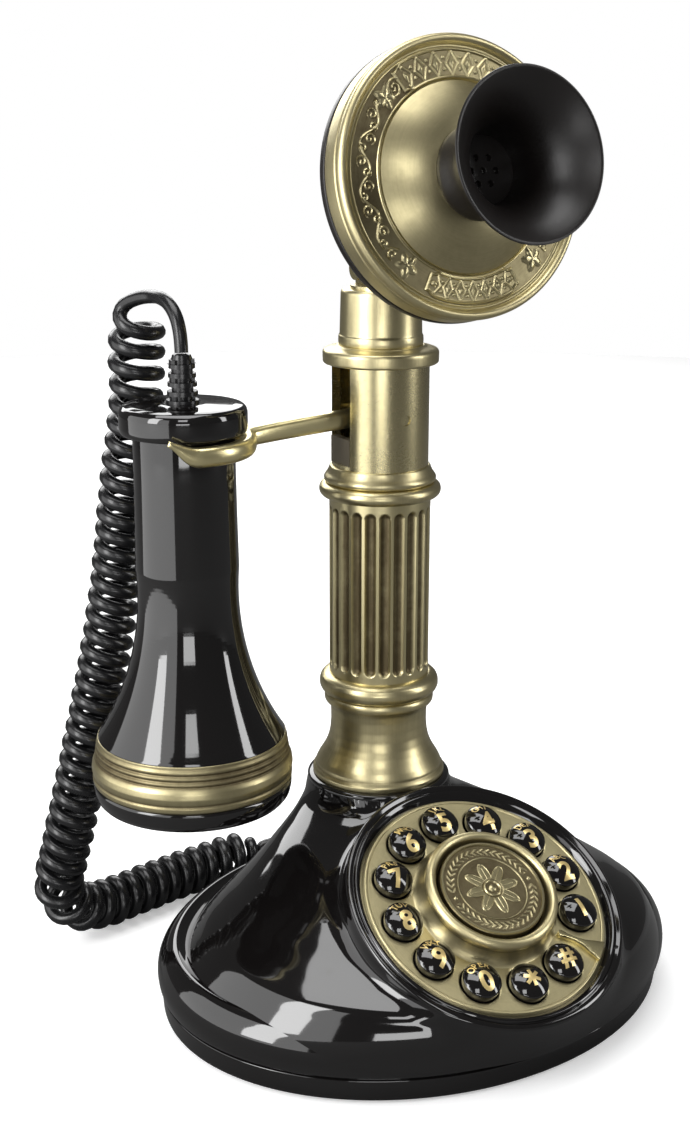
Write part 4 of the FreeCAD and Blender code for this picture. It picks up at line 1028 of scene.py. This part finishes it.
def flute_relief(spin, across, up):
    """Round-ended flutes: depth sqrt(2.1^2 - d^2) - 0.5, for the distance d from each flute's middle line."""
    pitch = 2 * math.pi / FLUTES
    aside = ((spin + pitch / 2) % pitch - pitch / 2) * 18.4
    beyond = np.maximum(np.abs(up - 148.0) - 28.4, 0.0)
    depth = np.sqrt(np.clip(2.1 ** 2 - aside ** 2 - beyond ** 2, 0.25, None)) - 0.5
    depth = np.where(across > 18.0, depth, 0.0)
    return -depth, 0.0, smooth_step(depth, 0.1, 1.3) * 0.85 - 0.25 * (depth < 0.02)


def make_column():
    """The column's turned pieces, each a profile spun about the upright."""
    pieces = {
        "column_foot": [
            (14.4, 74.5), (24.4, 74.5), (24.8, 75.2), (24.8, 76.6), (24.2, 77.4), (23.7, 78.0),
            (23.6, 79.0), (22.6, 81.0),
            (21.2, 83.2), (19.9, 85.6), (18.9, 88.2), (18.2, 91.4), (17.9, 95.0), (17.9, 99.0),
            (18.2, 101.6), (18.9, 103.2), (14.4, 103.2)],
        "small_ring": [(14.4, 103.0), (19.6, 103.0), (20.2, 103.7), (20.4, 105.0), (20.2, 106.2),
                       (19.4, 107.0), (14.4, 107.0)],
        "lower_ring": [
            (14.4, 107.0), (19.4, 107.0), (20.4, 107.3), (21.5, 108.2), (22.1, 109.6), (22.1, 111.4),
            (21.6, 112.9), (20.4, 114.0), (19.0, 114.5), (14.4, 114.5)],
        "upper_ring": [
            (14.4, 181.5), (19.3, 181.5), (20.8, 181.9), (21.8, 182.9), (22.1, 184.2), (21.8, 185.6),
            (20.8, 186.6), (19.3, 187.0), (14.4, 187.0)],
        "bell_collar": [
            (14.4, 187.0), (19.6, 187.0), (20.2, 187.7), (20.3, 188.8), (19.9, 189.5), (19.2, 190.4),
            (18.6, 191.6), (18.1, 193.0), (14.4, 193.0)],
        "column_flange": [
            (14.4, 229.8), (20.2, 229.8), (20.6, 230.3), (20.65, 232.0), (20.65, 233.8), (20.2, 234.6),
            (19.2, 235.0), (16.4, 235.7), (15.6, 236.2), (14.4, 236.2)],
        "column_cap": [
            (0.0, 250.0), (12.0, 250.0), (13.0, 236.0), (14.9, 236.0), (15.1, 237.6), (15.0, 239.4),
            (14.6, 240.0), (14.4, 248.0), (14.2, 254.6), (13.6, 255.7), (0.0, 255.7)],
    }
    for name, outline in pieces.items():
        closed = outline[0][0] > 0
        turned = spun(f"{name}_turned", outline, COLUMN_PLACE, 200, 0.5, closed=closed, aged=closed)
        dress(turned, "column_brass", "base", "antique_brass", name)
    ends = np.concatenate([np.linspace(116.8, 121.0, 14), np.linspace(124.0, 172.0, 14),
                           np.linspace(175.0, 179.2, 14)])
    outline = [(14.4, 114.5), (18.4, 114.5)] + [(18.4, float(z)) for z in ends] + [(18.4, 181.5),
                                                                                   (14.4, 181.5)]
    fluted = spun("fluted_tube_turned", outline, COLUMN_PLACE, FLUTES * 20, 0.0, relief=flute_relief,
                  smooth_angle=60.0)
    dress(fluted, "column_brass", "base", "antique_brass", "fluted_tube")
    collar = spun("column_seat", [(14.4, 72.0), (26.7, 72.0), (26.9, 73.4), (26.4, 74.3), (25.2, 74.7),
                                  (14.4, 74.7)],
                  COLUMN_PLACE, 200, 0.5)
    dress(collar, "shell_lacquer", "base", "gloss_shell")


# ------------------------------------------------------------------------------------------------------------
# Hook
# ------------------------------------------------------------------------------------------------------------


def make_hook():
    """The cast lever: an arm and two prongs with round corners, grown together and smoothed.

    Each prong follows an arc about the earpiece, then runs straight back to a thin tip that lifts a little.
    """
    x = EARPIECE_PLACE.translation[0] / MM
    parts = []
    along = np.linspace(0.0, 1.0, 24)
    arm = np.stack([x + 19.6 + along * 57.5, 0 * along, 208.2 + 3.3 * along], axis=-1)
    parts.append(swept(arm * MM, np.stack([3.1 + 3.4 * (1 - along) ** 5, 3.35 + 0 * along], axis=-1) * MM,
                       24, 3.2))
    for side in (-1, 1):
        swing = np.linspace(-0.1, math.pi / 2, 26)
        round_part = np.stack([x + 21.4 * np.cos(swing), side * 21.4 * np.sin(swing),
                               208.0 - 0.5 * np.sin(swing)], axis=-1)
        run = np.linspace(0.0, 1.0, 20)[1:]
        straight = np.stack([x - 14.7 * run, side * (21.4 - 0.4 * run),
                             207.5 + 5.9 * smooth_step(run, 0.25, 1.15)], axis=-1)
        path = np.concatenate([round_part, straight])
        share = np.linspace(0.0, 1.0, len(path))
        width = 3.2 - 0.4 * share - 1.9 * smooth_step(share, 0.62, 1.0)
        height = 3.5 - 0.1 * share - 2.3 * smooth_step(share, 0.68, 1.0)
        parts.append(swept(path * MM, np.stack([width, height], axis=-1) * MM, 24, 2.4))
    count, points, faces = 0, [], []
    for part_points, part_faces in parts:
        points.append(part_points)
        faces += [tuple(index + count for index in face) for face in part_faces]
        count += len(part_points)
    hook = tidy_normals(add_mesh("hook_cast", np.concatenate(points), faces))
    grown = hook.modifiers.new("grown", "REMESH")
    grown.mode, grown.voxel_size, grown.use_smooth_shade = "VOXEL", 0.55 * MM, True
    eased_over = hook.modifiers.new("eased", "SMOOTH")
    eased_over.factor, eased_over.iterations = 0.5, 4
    graph = bpy.context.evaluated_depsgraph_get()
    mesh = bpy.data.meshes.new_from_object(hook.evaluated_get(graph))
    hook.modifiers.clear()
    hook.data = mesh
    mesh.shade_smooth()
    dress(hook, "hook_brass", "hook", "bright_brass", "hook_lever")


# ------------------------------------------------------------------------------------------------------------
# Earpiece
# ------------------------------------------------------------------------------------------------------------


def relief_windows(spin, across, up):
    """Windows between the sleeve's ribs: two bridges across each gap, a quarter turn on from the last."""
    rib = 16.5 / 11
    level = (up - 221.5) / rib
    gap = (np.floor(level) % 2 == 1) & (level > 0.9) & (level < 10)
    step = np.floor(level / 2) % 2
    bridge = np.abs(np.cos(spin + step * math.pi / 2)) > 0.82
    out = np.where(gap & bridge & (across < 4.2) & (across > 2.6), 1.0, 0.0)
    return out, 0.0, np.where(gap & ~bridge, 0.6, 0.0)


def make_receiver():
    """The earpiece's handle, cap, band and listening end, and the ribbed sleeve that the cord leaves by."""
    outside, inside = arc((33.0, 104.6), (17.8, 165.0), 96.0, 40), arc((30.6, 104.6), (15.6, 165.0), 96.0, 40)
    handle = outside + [(17.5, 180.0), (17.3, 196.0), (17.2, 211.8), (14.8, 211.8),
                        (15.0, 190.0)] + inside[::-1]
    dress(spun("receiver_handle", handle, EARPIECE_PLACE, 220, 0.3), "shell_lacquer", "earpiece",
          "gloss_shell", "receiver_body")
    disc = [(0.0, 211.8), (20.6, 211.8), (21.3, 212.4), (21.6, 214.0), (21.6, 218.8), (21.2, 220.2),
            (20.2, 221.2), (17.6, 221.7), (8.0, 222.0), (0.0, 222.0)]
    dress(spun("receiver_top", disc, EARPIECE_PLACE, 200, 0.5, closed=False), "shell_lacquer", "earpiece",
          "gloss_shell", "receiver_cap")
    band = [(30.6, 88.2), (34.6, 88.2), (35.2, 88.8), (35.3, 90.2), (34.9, 90.9), (35.2, 91.6),
            (35.5, 93.4), (35.2, 95.6),
            (34.4, 97.2), (34.0, 97.6), (34.3, 98.0), (34.3, 98.7), (33.8, 99.2), (33.7, 99.6),
            (34.0, 100.0), (34.0, 100.7),
            (33.5, 101.2), (33.4, 101.6), (33.7, 102.0), (33.7, 102.8), (33.2, 103.5), (33.2, 104.6),
            (30.6, 104.6)]
    dress(spun("receiver_ring", band, EARPIECE_PLACE, 240, 0.35, aged=True), "engraved_brass", "earpiece",
          "antique_brass", "receiver_band")
    ear = [(0.0, 83.6), (20.0, 82.6), (28.0, 80.8), (31.0, 80.5), (33.0, 80.9), (34.4, 82.6), (35.0, 85.2),
           (35.1, 87.4), (34.6, 88.2), (0.0, 88.2)]
    dress(spun("receiver_ear", ear, EARPIECE_PLACE, 220, 0.6, closed=False), "shell_lacquer", "earpiece",
          "gloss_shell", "ear_cap")
    rib, sleeve = 16.5 / 11, [(0.0, 221.5)]
    for step in range(5):
        low = 221.5 + 2 * step * rib
        radius = 5.5 - 0.26 * step
        sleeve += [(radius, low + 0.05), (radius - 0.05, low + rib), (3.3, low + rib + 0.02),
                   (3.3, low + 2 * rib - 0.02)]
    sleeve += [(3.6, 221.5 + 10 * rib), (3.1, 238.0), (0.0, 238.0)]
    profile = []
    for here, there in zip(sleeve, sleeve[1:]):
        share = np.linspace(0.0, 1.0, 4)[:-1]
        profile += [(here[0] + (there[0] - here[0]) * s, here[1] + (there[1] - here[1]) * s) for s in share]
    dress(spun("receiver_sleeve", profile + [sleeve[-1]], EARPIECE_PLACE, 96, 0.0, closed=False,
               relief=relief_windows),
          "cord_jacket", "earpiece", "cord_black", "receiver_strain_relief")


# ------------------------------------------------------------------------------------------------------------
# Head
# ------------------------------------------------------------------------------------------------------------


def angle_from(spin, centre):
    """Return how far an angle lies from a centre, from minus half a turn to half a turn."""
    return (spin - centre + math.pi) % (2 * math.pi) - math.pi


def plaque(spin, across, centre, half_angle, tall, studs):
    """A framed plaque with a row of lozenges and beads, and a curled leaf or a stud at each end."""
    aside = angle_from(spin, centre) * 35.7
    half = half_angle * 35.7
    swell = tall - 1.1 * smooth_step(np.abs(aside), half - 3.2, half - 0.6)
    inside = np.maximum(np.abs(aside) - half, np.abs(across - 35.7) - swell)
    frame_line = ridge(inside, 0.55) * 0.75
    face = np.where(inside < 0, 0.1, 0.0)
    period = half * 2 / 7
    along = (aside + half) % period - period / 2
    far = np.abs(along) * 1.05 / period * 3.4 + np.abs(across - 35.7) * 1.5 / tall
    lozenge = np.maximum(ridge(far - 1.35, 0.3) * 0.5, np.clip(0.75 - far, 0, 0.5))
    bead = np.hypot(np.abs(along) - period / 2, np.abs(across - 35.7) - tall * 0.42)
    bead = np.sqrt(np.clip(1 - (bead / 0.6) ** 2, 0, 1)) * 0.5
    row = np.where(np.abs(aside) < half - 2.4, np.maximum(lozenge, bead), 0.0)
    end = np.abs(aside) - half - 1.6
    if studs:
        end = np.abs(aside) - half + 1.7
        tip = np.sqrt(np.clip(1 - (end / 0.9) ** 2 - ((across - 35.7) / 0.9) ** 2, 0, 1)) * 0.9
    else:
        curl = np.hypot(end - 1.2, across - 35.7)
        twist = np.arctan2(across - 35.7, end - 1.2)
        tip = ridge(np.mod(curl - twist * 0.5 + 0.8, 1.6) - 0.8, 0.45) * 0.5 * (curl < 3.4)
    return np.maximum.reduce([frame_line, face, row * (inside < 0) + face, tip])


def engraving(spin, across):
    """The band's ornament: two border lines, two plaques, and a vine down each side.

    The vine's stem is a sine wave in angle, with curled leaves set above and below its turns.
    """
    borders = np.maximum(ridge(across - 31.2, 0.4), ridge(across - 40.5, 0.4)) * 0.45
    top = plaque(spin, across, math.pi / 2, math.radians(34), 4.3, False)
    foot = plaque(spin, across, -math.pi / 2, math.radians(27), 3.7, True)
    vine = np.zeros_like(across)
    for middle_angle in (math.pi, 0.0):
        turn = angle_from(spin, middle_angle)
        aside = turn * 35.7
        near = np.abs(turn) < math.radians(40)
        wave = 35.7 + 2.1 * np.sin(aside * 0.42)
        slope = np.sqrt(1 + (2.1 * 0.42 * np.cos(aside * 0.42)) ** 2)
        stem = ridge((across - wave) / slope, 0.42)
        period = math.pi / 0.42
        local = (aside + period / 2) % period - period / 2
        flip = np.where(np.floor((aside + period / 2) / period) % 2 == 0, 1.0, -1.0)
        for offset, size in ((1.9, 1.5), (-2.2, 1.2)):
            leaf_x, leaf_y = local - offset, (across - 35.7) * flip + 0.9
            reach, angle = np.hypot(leaf_x, leaf_y), np.arctan2(leaf_y, leaf_x)
            spiral = ridge(np.mod(reach - (angle + math.pi) / (2 * math.pi) * size + size / 2,
                                  size) - size / 2, 0.36)
            stem = np.maximum(stem, spiral * (reach < size * 1.25))
        vine = np.maximum(vine, stem * near * 0.5)
    rosettes = np.zeros_like(across)
    for centre in (math.radians(136), math.radians(44), math.radians(228), math.radians(-48)):
        aside = angle_from(spin, centre) * 35.7
        reach, angle = np.hypot(aside, across - 35.7), np.arctan2(across - 35.7, aside)
        petals = np.clip(1.15 - reach / (3.1 + 0.7 * np.cos(5 * angle)), 0,
                         0.45) * (0.6 + 0.4 * np.abs(np.cos(2.5 * angle)))
        heart = np.sqrt(np.clip(1 - (reach / 0.9) ** 2, 0, 1)) * 0.6
        rosettes = np.maximum(rosettes, np.maximum(petals * 1.3, heart))
    return np.maximum.reduce([borders, top, foot, vine, rosettes])


def face_relief(spin, across, up):
    """Raise the engraving on the flat band, darken the ground round it, and paint shade on the band towards its
    upper left.
    """
    on_band = (across > 30.4) & (across < 41.0) & (up > -0.6)
    height = np.where(on_band, engraving(spin, across), 0.0)
    edge = smooth_step(across, 30.4, 31.0) * (1 - smooth_step(across, 40.6, 41.2))
    ground = np.where(on_band, edge * (0.42 - 0.95 * smooth_step(height, 0.03, 0.35)), 0.0)
    # Painted shade: this patch makes the band darker towards its upper left side.
    patch = 0.3 * smooth_step(np.cos(spin - math.radians(140)), 0.2, 1.0)
    return 0.0, height, ground + np.where(on_band, patch * edge, 0.0)


def make_head():
    """The transmitter's black back, its brass drum, and its engraved face with a dome."""
    back = [(0.0, -20.0), (13.5, -20.0), (26.0, -19.0), (38.7, -16.4), (43.0, -14.0), (45.0, -11.6),
            (45.0, -9.0), (44.4, -8.7),
            (42.6, -8.7), (42.6, -10.0), (36.9, -14.0), (13.5, -17.6), (0.0, -17.6)]
    dress(spun("head_back", back, HEAD_PLACE, 240, 0.8, closed=False), "satin_black", "transmitter",
          "black_plastic", "transmitter_back")
    drum = [(42.0, -8.7), (44.5, -8.7), (44.9, -8.2), (44.9, -2.4), (44.6, -1.9), (44.7, -1.3),
            (45.1, -0.4), (45.0, 0.9),
            (44.3, 1.8), (43.3, 2.0), (42.5, 1.4), (42.0, 0.4), (41.6, 0.0), (41.4, -1.6)]
    dress(spun("head_drum", drum, HEAD_PLACE, 300, 0.4), "aged_brass", "transmitter", "antique_brass",
          "transmitter_drum")
    dome = arc((30.2, 1.0), (10.8, 9.2), 40.0, 26)
    hollow = [(r, 2 * (1.0 + (30.2 - r) * (8.2 / 19.4)) - k) for r, k in dome]
    band = [(float(r), 0.0 + (41.4 - float(r)) * 0.04) for r in np.linspace(41.4, 31.0, 72)]
    outline = ([(0.0, -1.6), (41.6, -1.6), (41.7, -0.3)] + band + [(30.6, 0.15), (30.4, 0.3)]
               + hollow + [(8.0, 9.4), (0.0, 9.4)])
    face = spun("head_face", outline, HEAD_PLACE, 760, 0.0, closed=False, relief=face_relief,
                smooth_angle=35.0)
    dress(face, "engraved_brass", "transmitter", "antique_brass", "transmitter_face")


def horn_relief(spin, across, up):
    """Seven small sound holes in the horn's floor: one in the middle and six round it."""
    on_floor = (up < 4.0) & (up > 2.0) & (across < 10.9)
    x, y = across * np.cos(spin), across * np.sin(spin)
    nearest = np.hypot(x, y)
    for index in range(6):
        turn = index * math.pi / 3
        nearest = np.minimum(nearest, np.hypot(x - 4.6 * math.cos(turn), y - 4.6 * math.sin(turn)))
    depth = 1 - smooth_step(nearest, 0.75, 1.05)
    return 0.0, np.where(on_floor, -1.6 * depth, 0.0), np.where(on_floor, depth, 0.0)


def make_horn():
    """The trumpet mouthpiece: an arc flares from the waist to a rounded lip and back down inside."""
    place = HEAD_PLACE @ Matrix.Translation((0.0, 0.0, 9.2 * MM))
    outer = [(15.1, 0.0), (15.2, 0.8), (14.9, 1.8), (14.2, 4.0), (13.6, 6.4),
             (13.4, 8.5)] + arc((13.4, 8.5), (26.3, 28.3), 30.0)[1:]
    lip = [(26.7, 28.7), (26.6, 29.1), (26.1, 29.2), (25.5, 28.9)]
    inner = arc((11.6, 9.0), (25.2, 28.6), 30.0)[::-1][1:] + [(11.2, 6.0), (11.0, 3.0)]
    floor = [(float(r), 3.0) for r in np.linspace(10.8, 0.2, 54)]
    outline = [(0.0, -0.4), (15.0, -0.4)] + outer + lip + inner + floor + [(0.0, 3.0)]
    horn = spun("horn", outline, place, 240, 0.0, closed=False, relief=horn_relief)
    dress(horn, "satin_black", "transmitter", "black_plastic", "mouthpiece_horn")


# ------------------------------------------------------------------------------------------------------------
# Fittings that keep their CAD shape
# ------------------------------------------------------------------------------------------------------------

CAD_FINISHES = {
    "column_brass_plain": ("hook_tube", "tilt_bracket", "tilt_arm", "hook_pivot_pin"),
    "slot_plastic": ("slot_insert",),
    "polished_brass": ("tilt_screw",),
    "satin_black": ("base_plate", "cord_bushing", "line_jack", "hook_switch", "keypad_mat", "ringer"),
    "dark_metal": ("base_screws", "hook_spring", "tie_rod", "ballast_weight", "microphone",
                   "receiver_capsule"),
    "black_rubber": ("rubber_feet",),
    "circuit_board": ("main_board", "keypad_board"),
}


def finish_fittings():
    """Give every CAD node that stays in sight or inside its own finish."""
    for material, nodes in CAD_FINISHES.items():
        for node in nodes:
            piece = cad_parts[node]
            piece.data.materials.clear()
            piece.data.materials.append(bpy.data.materials[material])


# ------------------------------------------------------------------------------------------------------------
# Settings, operators and panel
# ------------------------------------------------------------------------------------------------------------


def length_setting(name, description, default):
    """Return a length property in metres."""
    return bpy.props.FloatProperty(
        name=name, description=description, default=default, min=0.0001, precision=4, subtype="DISTANCE",
        unit="LENGTH")


def colour_setting(name, description, default):
    """Return a linear colour property."""
    return bpy.props.FloatVectorProperty(
        name=name, description=description, default=default, size=3, min=0.0, max=1.0, subtype="COLOR")


class TELEPHONE_PG_sizes(bpy.types.PropertyGroup):
    """Sizes of the receiver cord"""
    cord_diameter: length_setting("Cord diameter", "Thickness of the cord itself", 0.0049)
    curl_diameter: length_setting("Curl diameter", "Outside width of the curls", 0.0194)
    curl_pitch: length_setting("Curl pitch", "Distance from one curl to the next", 0.0066)
    lead_length: length_setting("Plain lead", "Uncurled length above the earpiece", 0.055)
    tail_length: length_setting("Plain tail", "Uncurled length into the base", 0.031)
    cord_length: length_setting("Cord length", "Whole length of cord, end to end, uncurled", 2.3)


class TELEPHONE_PG_colours(bpy.types.PropertyGroup):
    """Colours of the finishes"""
    brass: colour_setting("Brass", "Clean antique brass", (0.68, 0.60, 0.345))
    patina: colour_setting("Patina", "Darkened antique brass", (0.115, 0.09, 0.05))
    bright_brass: colour_setting("Bright brass", "Brass of the hook, bezel and finger stop",
                                 (0.86, 0.76, 0.42))
    shell: colour_setting("Shell", "Gloss mouldings", (0.0035, 0.003, 0.003))
    horn: colour_setting("Horn", "Satin mouldings", (0.0065, 0.005, 0.0045))


class TELEPHONE_PG_stage(bpy.types.PropertyGroup):
    """Stage"""
    floor_radius: length_setting("Floor radius", "Flat part of the sweep", 1.6)
    room_light: bpy.props.FloatProperty(
        name="Room light", description="Strength of the even light that surfaces see", default=0.1, min=0.0)
    floor_glow: bpy.props.FloatProperty(name="Floor glow", description="Even light of the pale floor",
                                        default=0.35, min=0.0)
    light_power: bpy.props.FloatProperty(name="Light power", description="Factor on every softbox",
                                         default=0.5, min=0.0)


class TELEPHONE_OT_finishes(bpy.types.Operator):
    """Make the telephone's materials"""
    bl_idname = "telephone.finishes"
    bl_label = "Finishes"

    def execute(self, context):
        make_finishes(context.scene.telephone_colours)
        return {"FINISHED"}


class TELEPHONE_OT_stage(bpy.types.Operator):
    """Make the sweep, the softboxes and the camera"""
    bl_idname = "telephone.stage"
    bl_label = "Stage"

    def execute(self, context):
        make_stage(context.scene.telephone_stage)
        return {"FINISHED"}


class TELEPHONE_OT_cord(bpy.types.Operator):
    """Make the curly cord from the earpiece to the base"""
    bl_idname = "telephone.cord"
    bl_label = "Receiver cord"

    def execute(self, context):
        make_cord(context.scene.telephone_sizes)
        return {"FINISHED"}


class TELEPHONE_OT_base(bpy.types.Operator):
    """Make the base's dome, pod and belt"""
    bl_idname = "telephone.base"
    bl_label = "Base"

    def execute(self, context):
        make_base_dome()
        make_base_belt()
        return {"FINISHED"}


class TELEPHONE_OT_dial(bpy.types.Operator):
    """Make the dial plate, bezel, medallion and finger stop"""
    bl_idname = "telephone.dial"
    bl_label = "Dial"

    def execute(self, context):
        make_dial_plate()
        make_dial_trim()
        return {"FINISHED"}


class TELEPHONE_OT_buttons(bpy.types.Operator):
    """Make the twelve push buttons with their marks"""
    bl_idname = "telephone.buttons"
    bl_label = "Buttons"

    def execute(self, context):
        make_buttons()
        return {"FINISHED"}


class TELEPHONE_OT_column(bpy.types.Operator):
    """Make the column's turned and fluted brass"""
    bl_idname = "telephone.column"
    bl_label = "Column"

    def execute(self, context):
        make_column()
        return {"FINISHED"}


class TELEPHONE_OT_hook(bpy.types.Operator):
    """Make the cast hook lever"""
    bl_idname = "telephone.hook"
    bl_label = "Hook"

    def execute(self, context):
        make_hook()
        return {"FINISHED"}


class TELEPHONE_OT_receiver(bpy.types.Operator):
    """Make the earpiece"""
    bl_idname = "telephone.receiver"
    bl_label = "Earpiece"

    def execute(self, context):
        make_receiver()
        return {"FINISHED"}


class TELEPHONE_OT_head(bpy.types.Operator):
    """Make the transmitter head and its trumpet"""
    bl_idname = "telephone.head"
    bl_label = "Transmitter"

    def execute(self, context):
        make_head()
        make_horn()
        return {"FINISHED"}


class TELEPHONE_OT_fittings(bpy.types.Operator):
    """Finish the parts that keep their CAD shape"""
    bl_idname = "telephone.fittings"
    bl_label = "Fittings"

    def execute(self, context):
        finish_fittings()
        return {"FINISHED"}


MAKERS = (
    TELEPHONE_OT_finishes, TELEPHONE_OT_stage, TELEPHONE_OT_cord, TELEPHONE_OT_base, TELEPHONE_OT_dial,
    TELEPHONE_OT_buttons, TELEPHONE_OT_column, TELEPHONE_OT_hook, TELEPHONE_OT_receiver, TELEPHONE_OT_head,
    TELEPHONE_OT_fittings,
)


class TELEPHONE_PT_panel(bpy.types.Panel):
    """Lists the telephone's settings and its makers"""
    bl_idname = "TELEPHONE_PT_panel"
    bl_label = "Candlestick telephone"
    bl_space_type = "VIEW_3D"
    bl_region_type = "UI"
    bl_category = "Telephone"

    def draw(self, context):
        for settings in (context.scene.telephone_sizes, context.scene.telephone_colours,
                         context.scene.telephone_stage):
            box = self.layout.box()
            for name in settings.__annotations__:
                box.prop(settings, name)
        for maker in MAKERS:
            self.layout.operator(maker.bl_idname)


CLASSES = (TELEPHONE_PG_sizes, TELEPHONE_PG_colours, TELEPHONE_PG_stage, *MAKERS, TELEPHONE_PT_panel)


def register():
    for item in CLASSES:
        bpy.utils.register_class(item)
    bpy.types.Scene.telephone_sizes = bpy.props.PointerProperty(type=TELEPHONE_PG_sizes)
    bpy.types.Scene.telephone_colours = bpy.props.PointerProperty(type=TELEPHONE_PG_colours)
    bpy.types.Scene.telephone_stage = bpy.props.PointerProperty(type=TELEPHONE_PG_stage)


def unregister():
    for name in ("telephone_sizes", "telephone_colours", "telephone_stage"):
        delattr(bpy.types.Scene, name)
    for item in reversed(CLASSES):
        bpy.utils.unregister_class(item)


def main():
    """Register the add-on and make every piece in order."""
    register()
    bpy.ops.telephone.finishes()
    bpy.ops.telephone.stage()
    bpy.ops.telephone.cord()
    bpy.ops.telephone.base()
    bpy.ops.telephone.dial()
    bpy.ops.telephone.buttons()
    bpy.ops.telephone.column()
    bpy.ops.telephone.hook()
    bpy.ops.telephone.receiver()
    bpy.ops.telephone.head()
    bpy.ops.telephone.fittings()


if __name__ == "__main__":
    main()
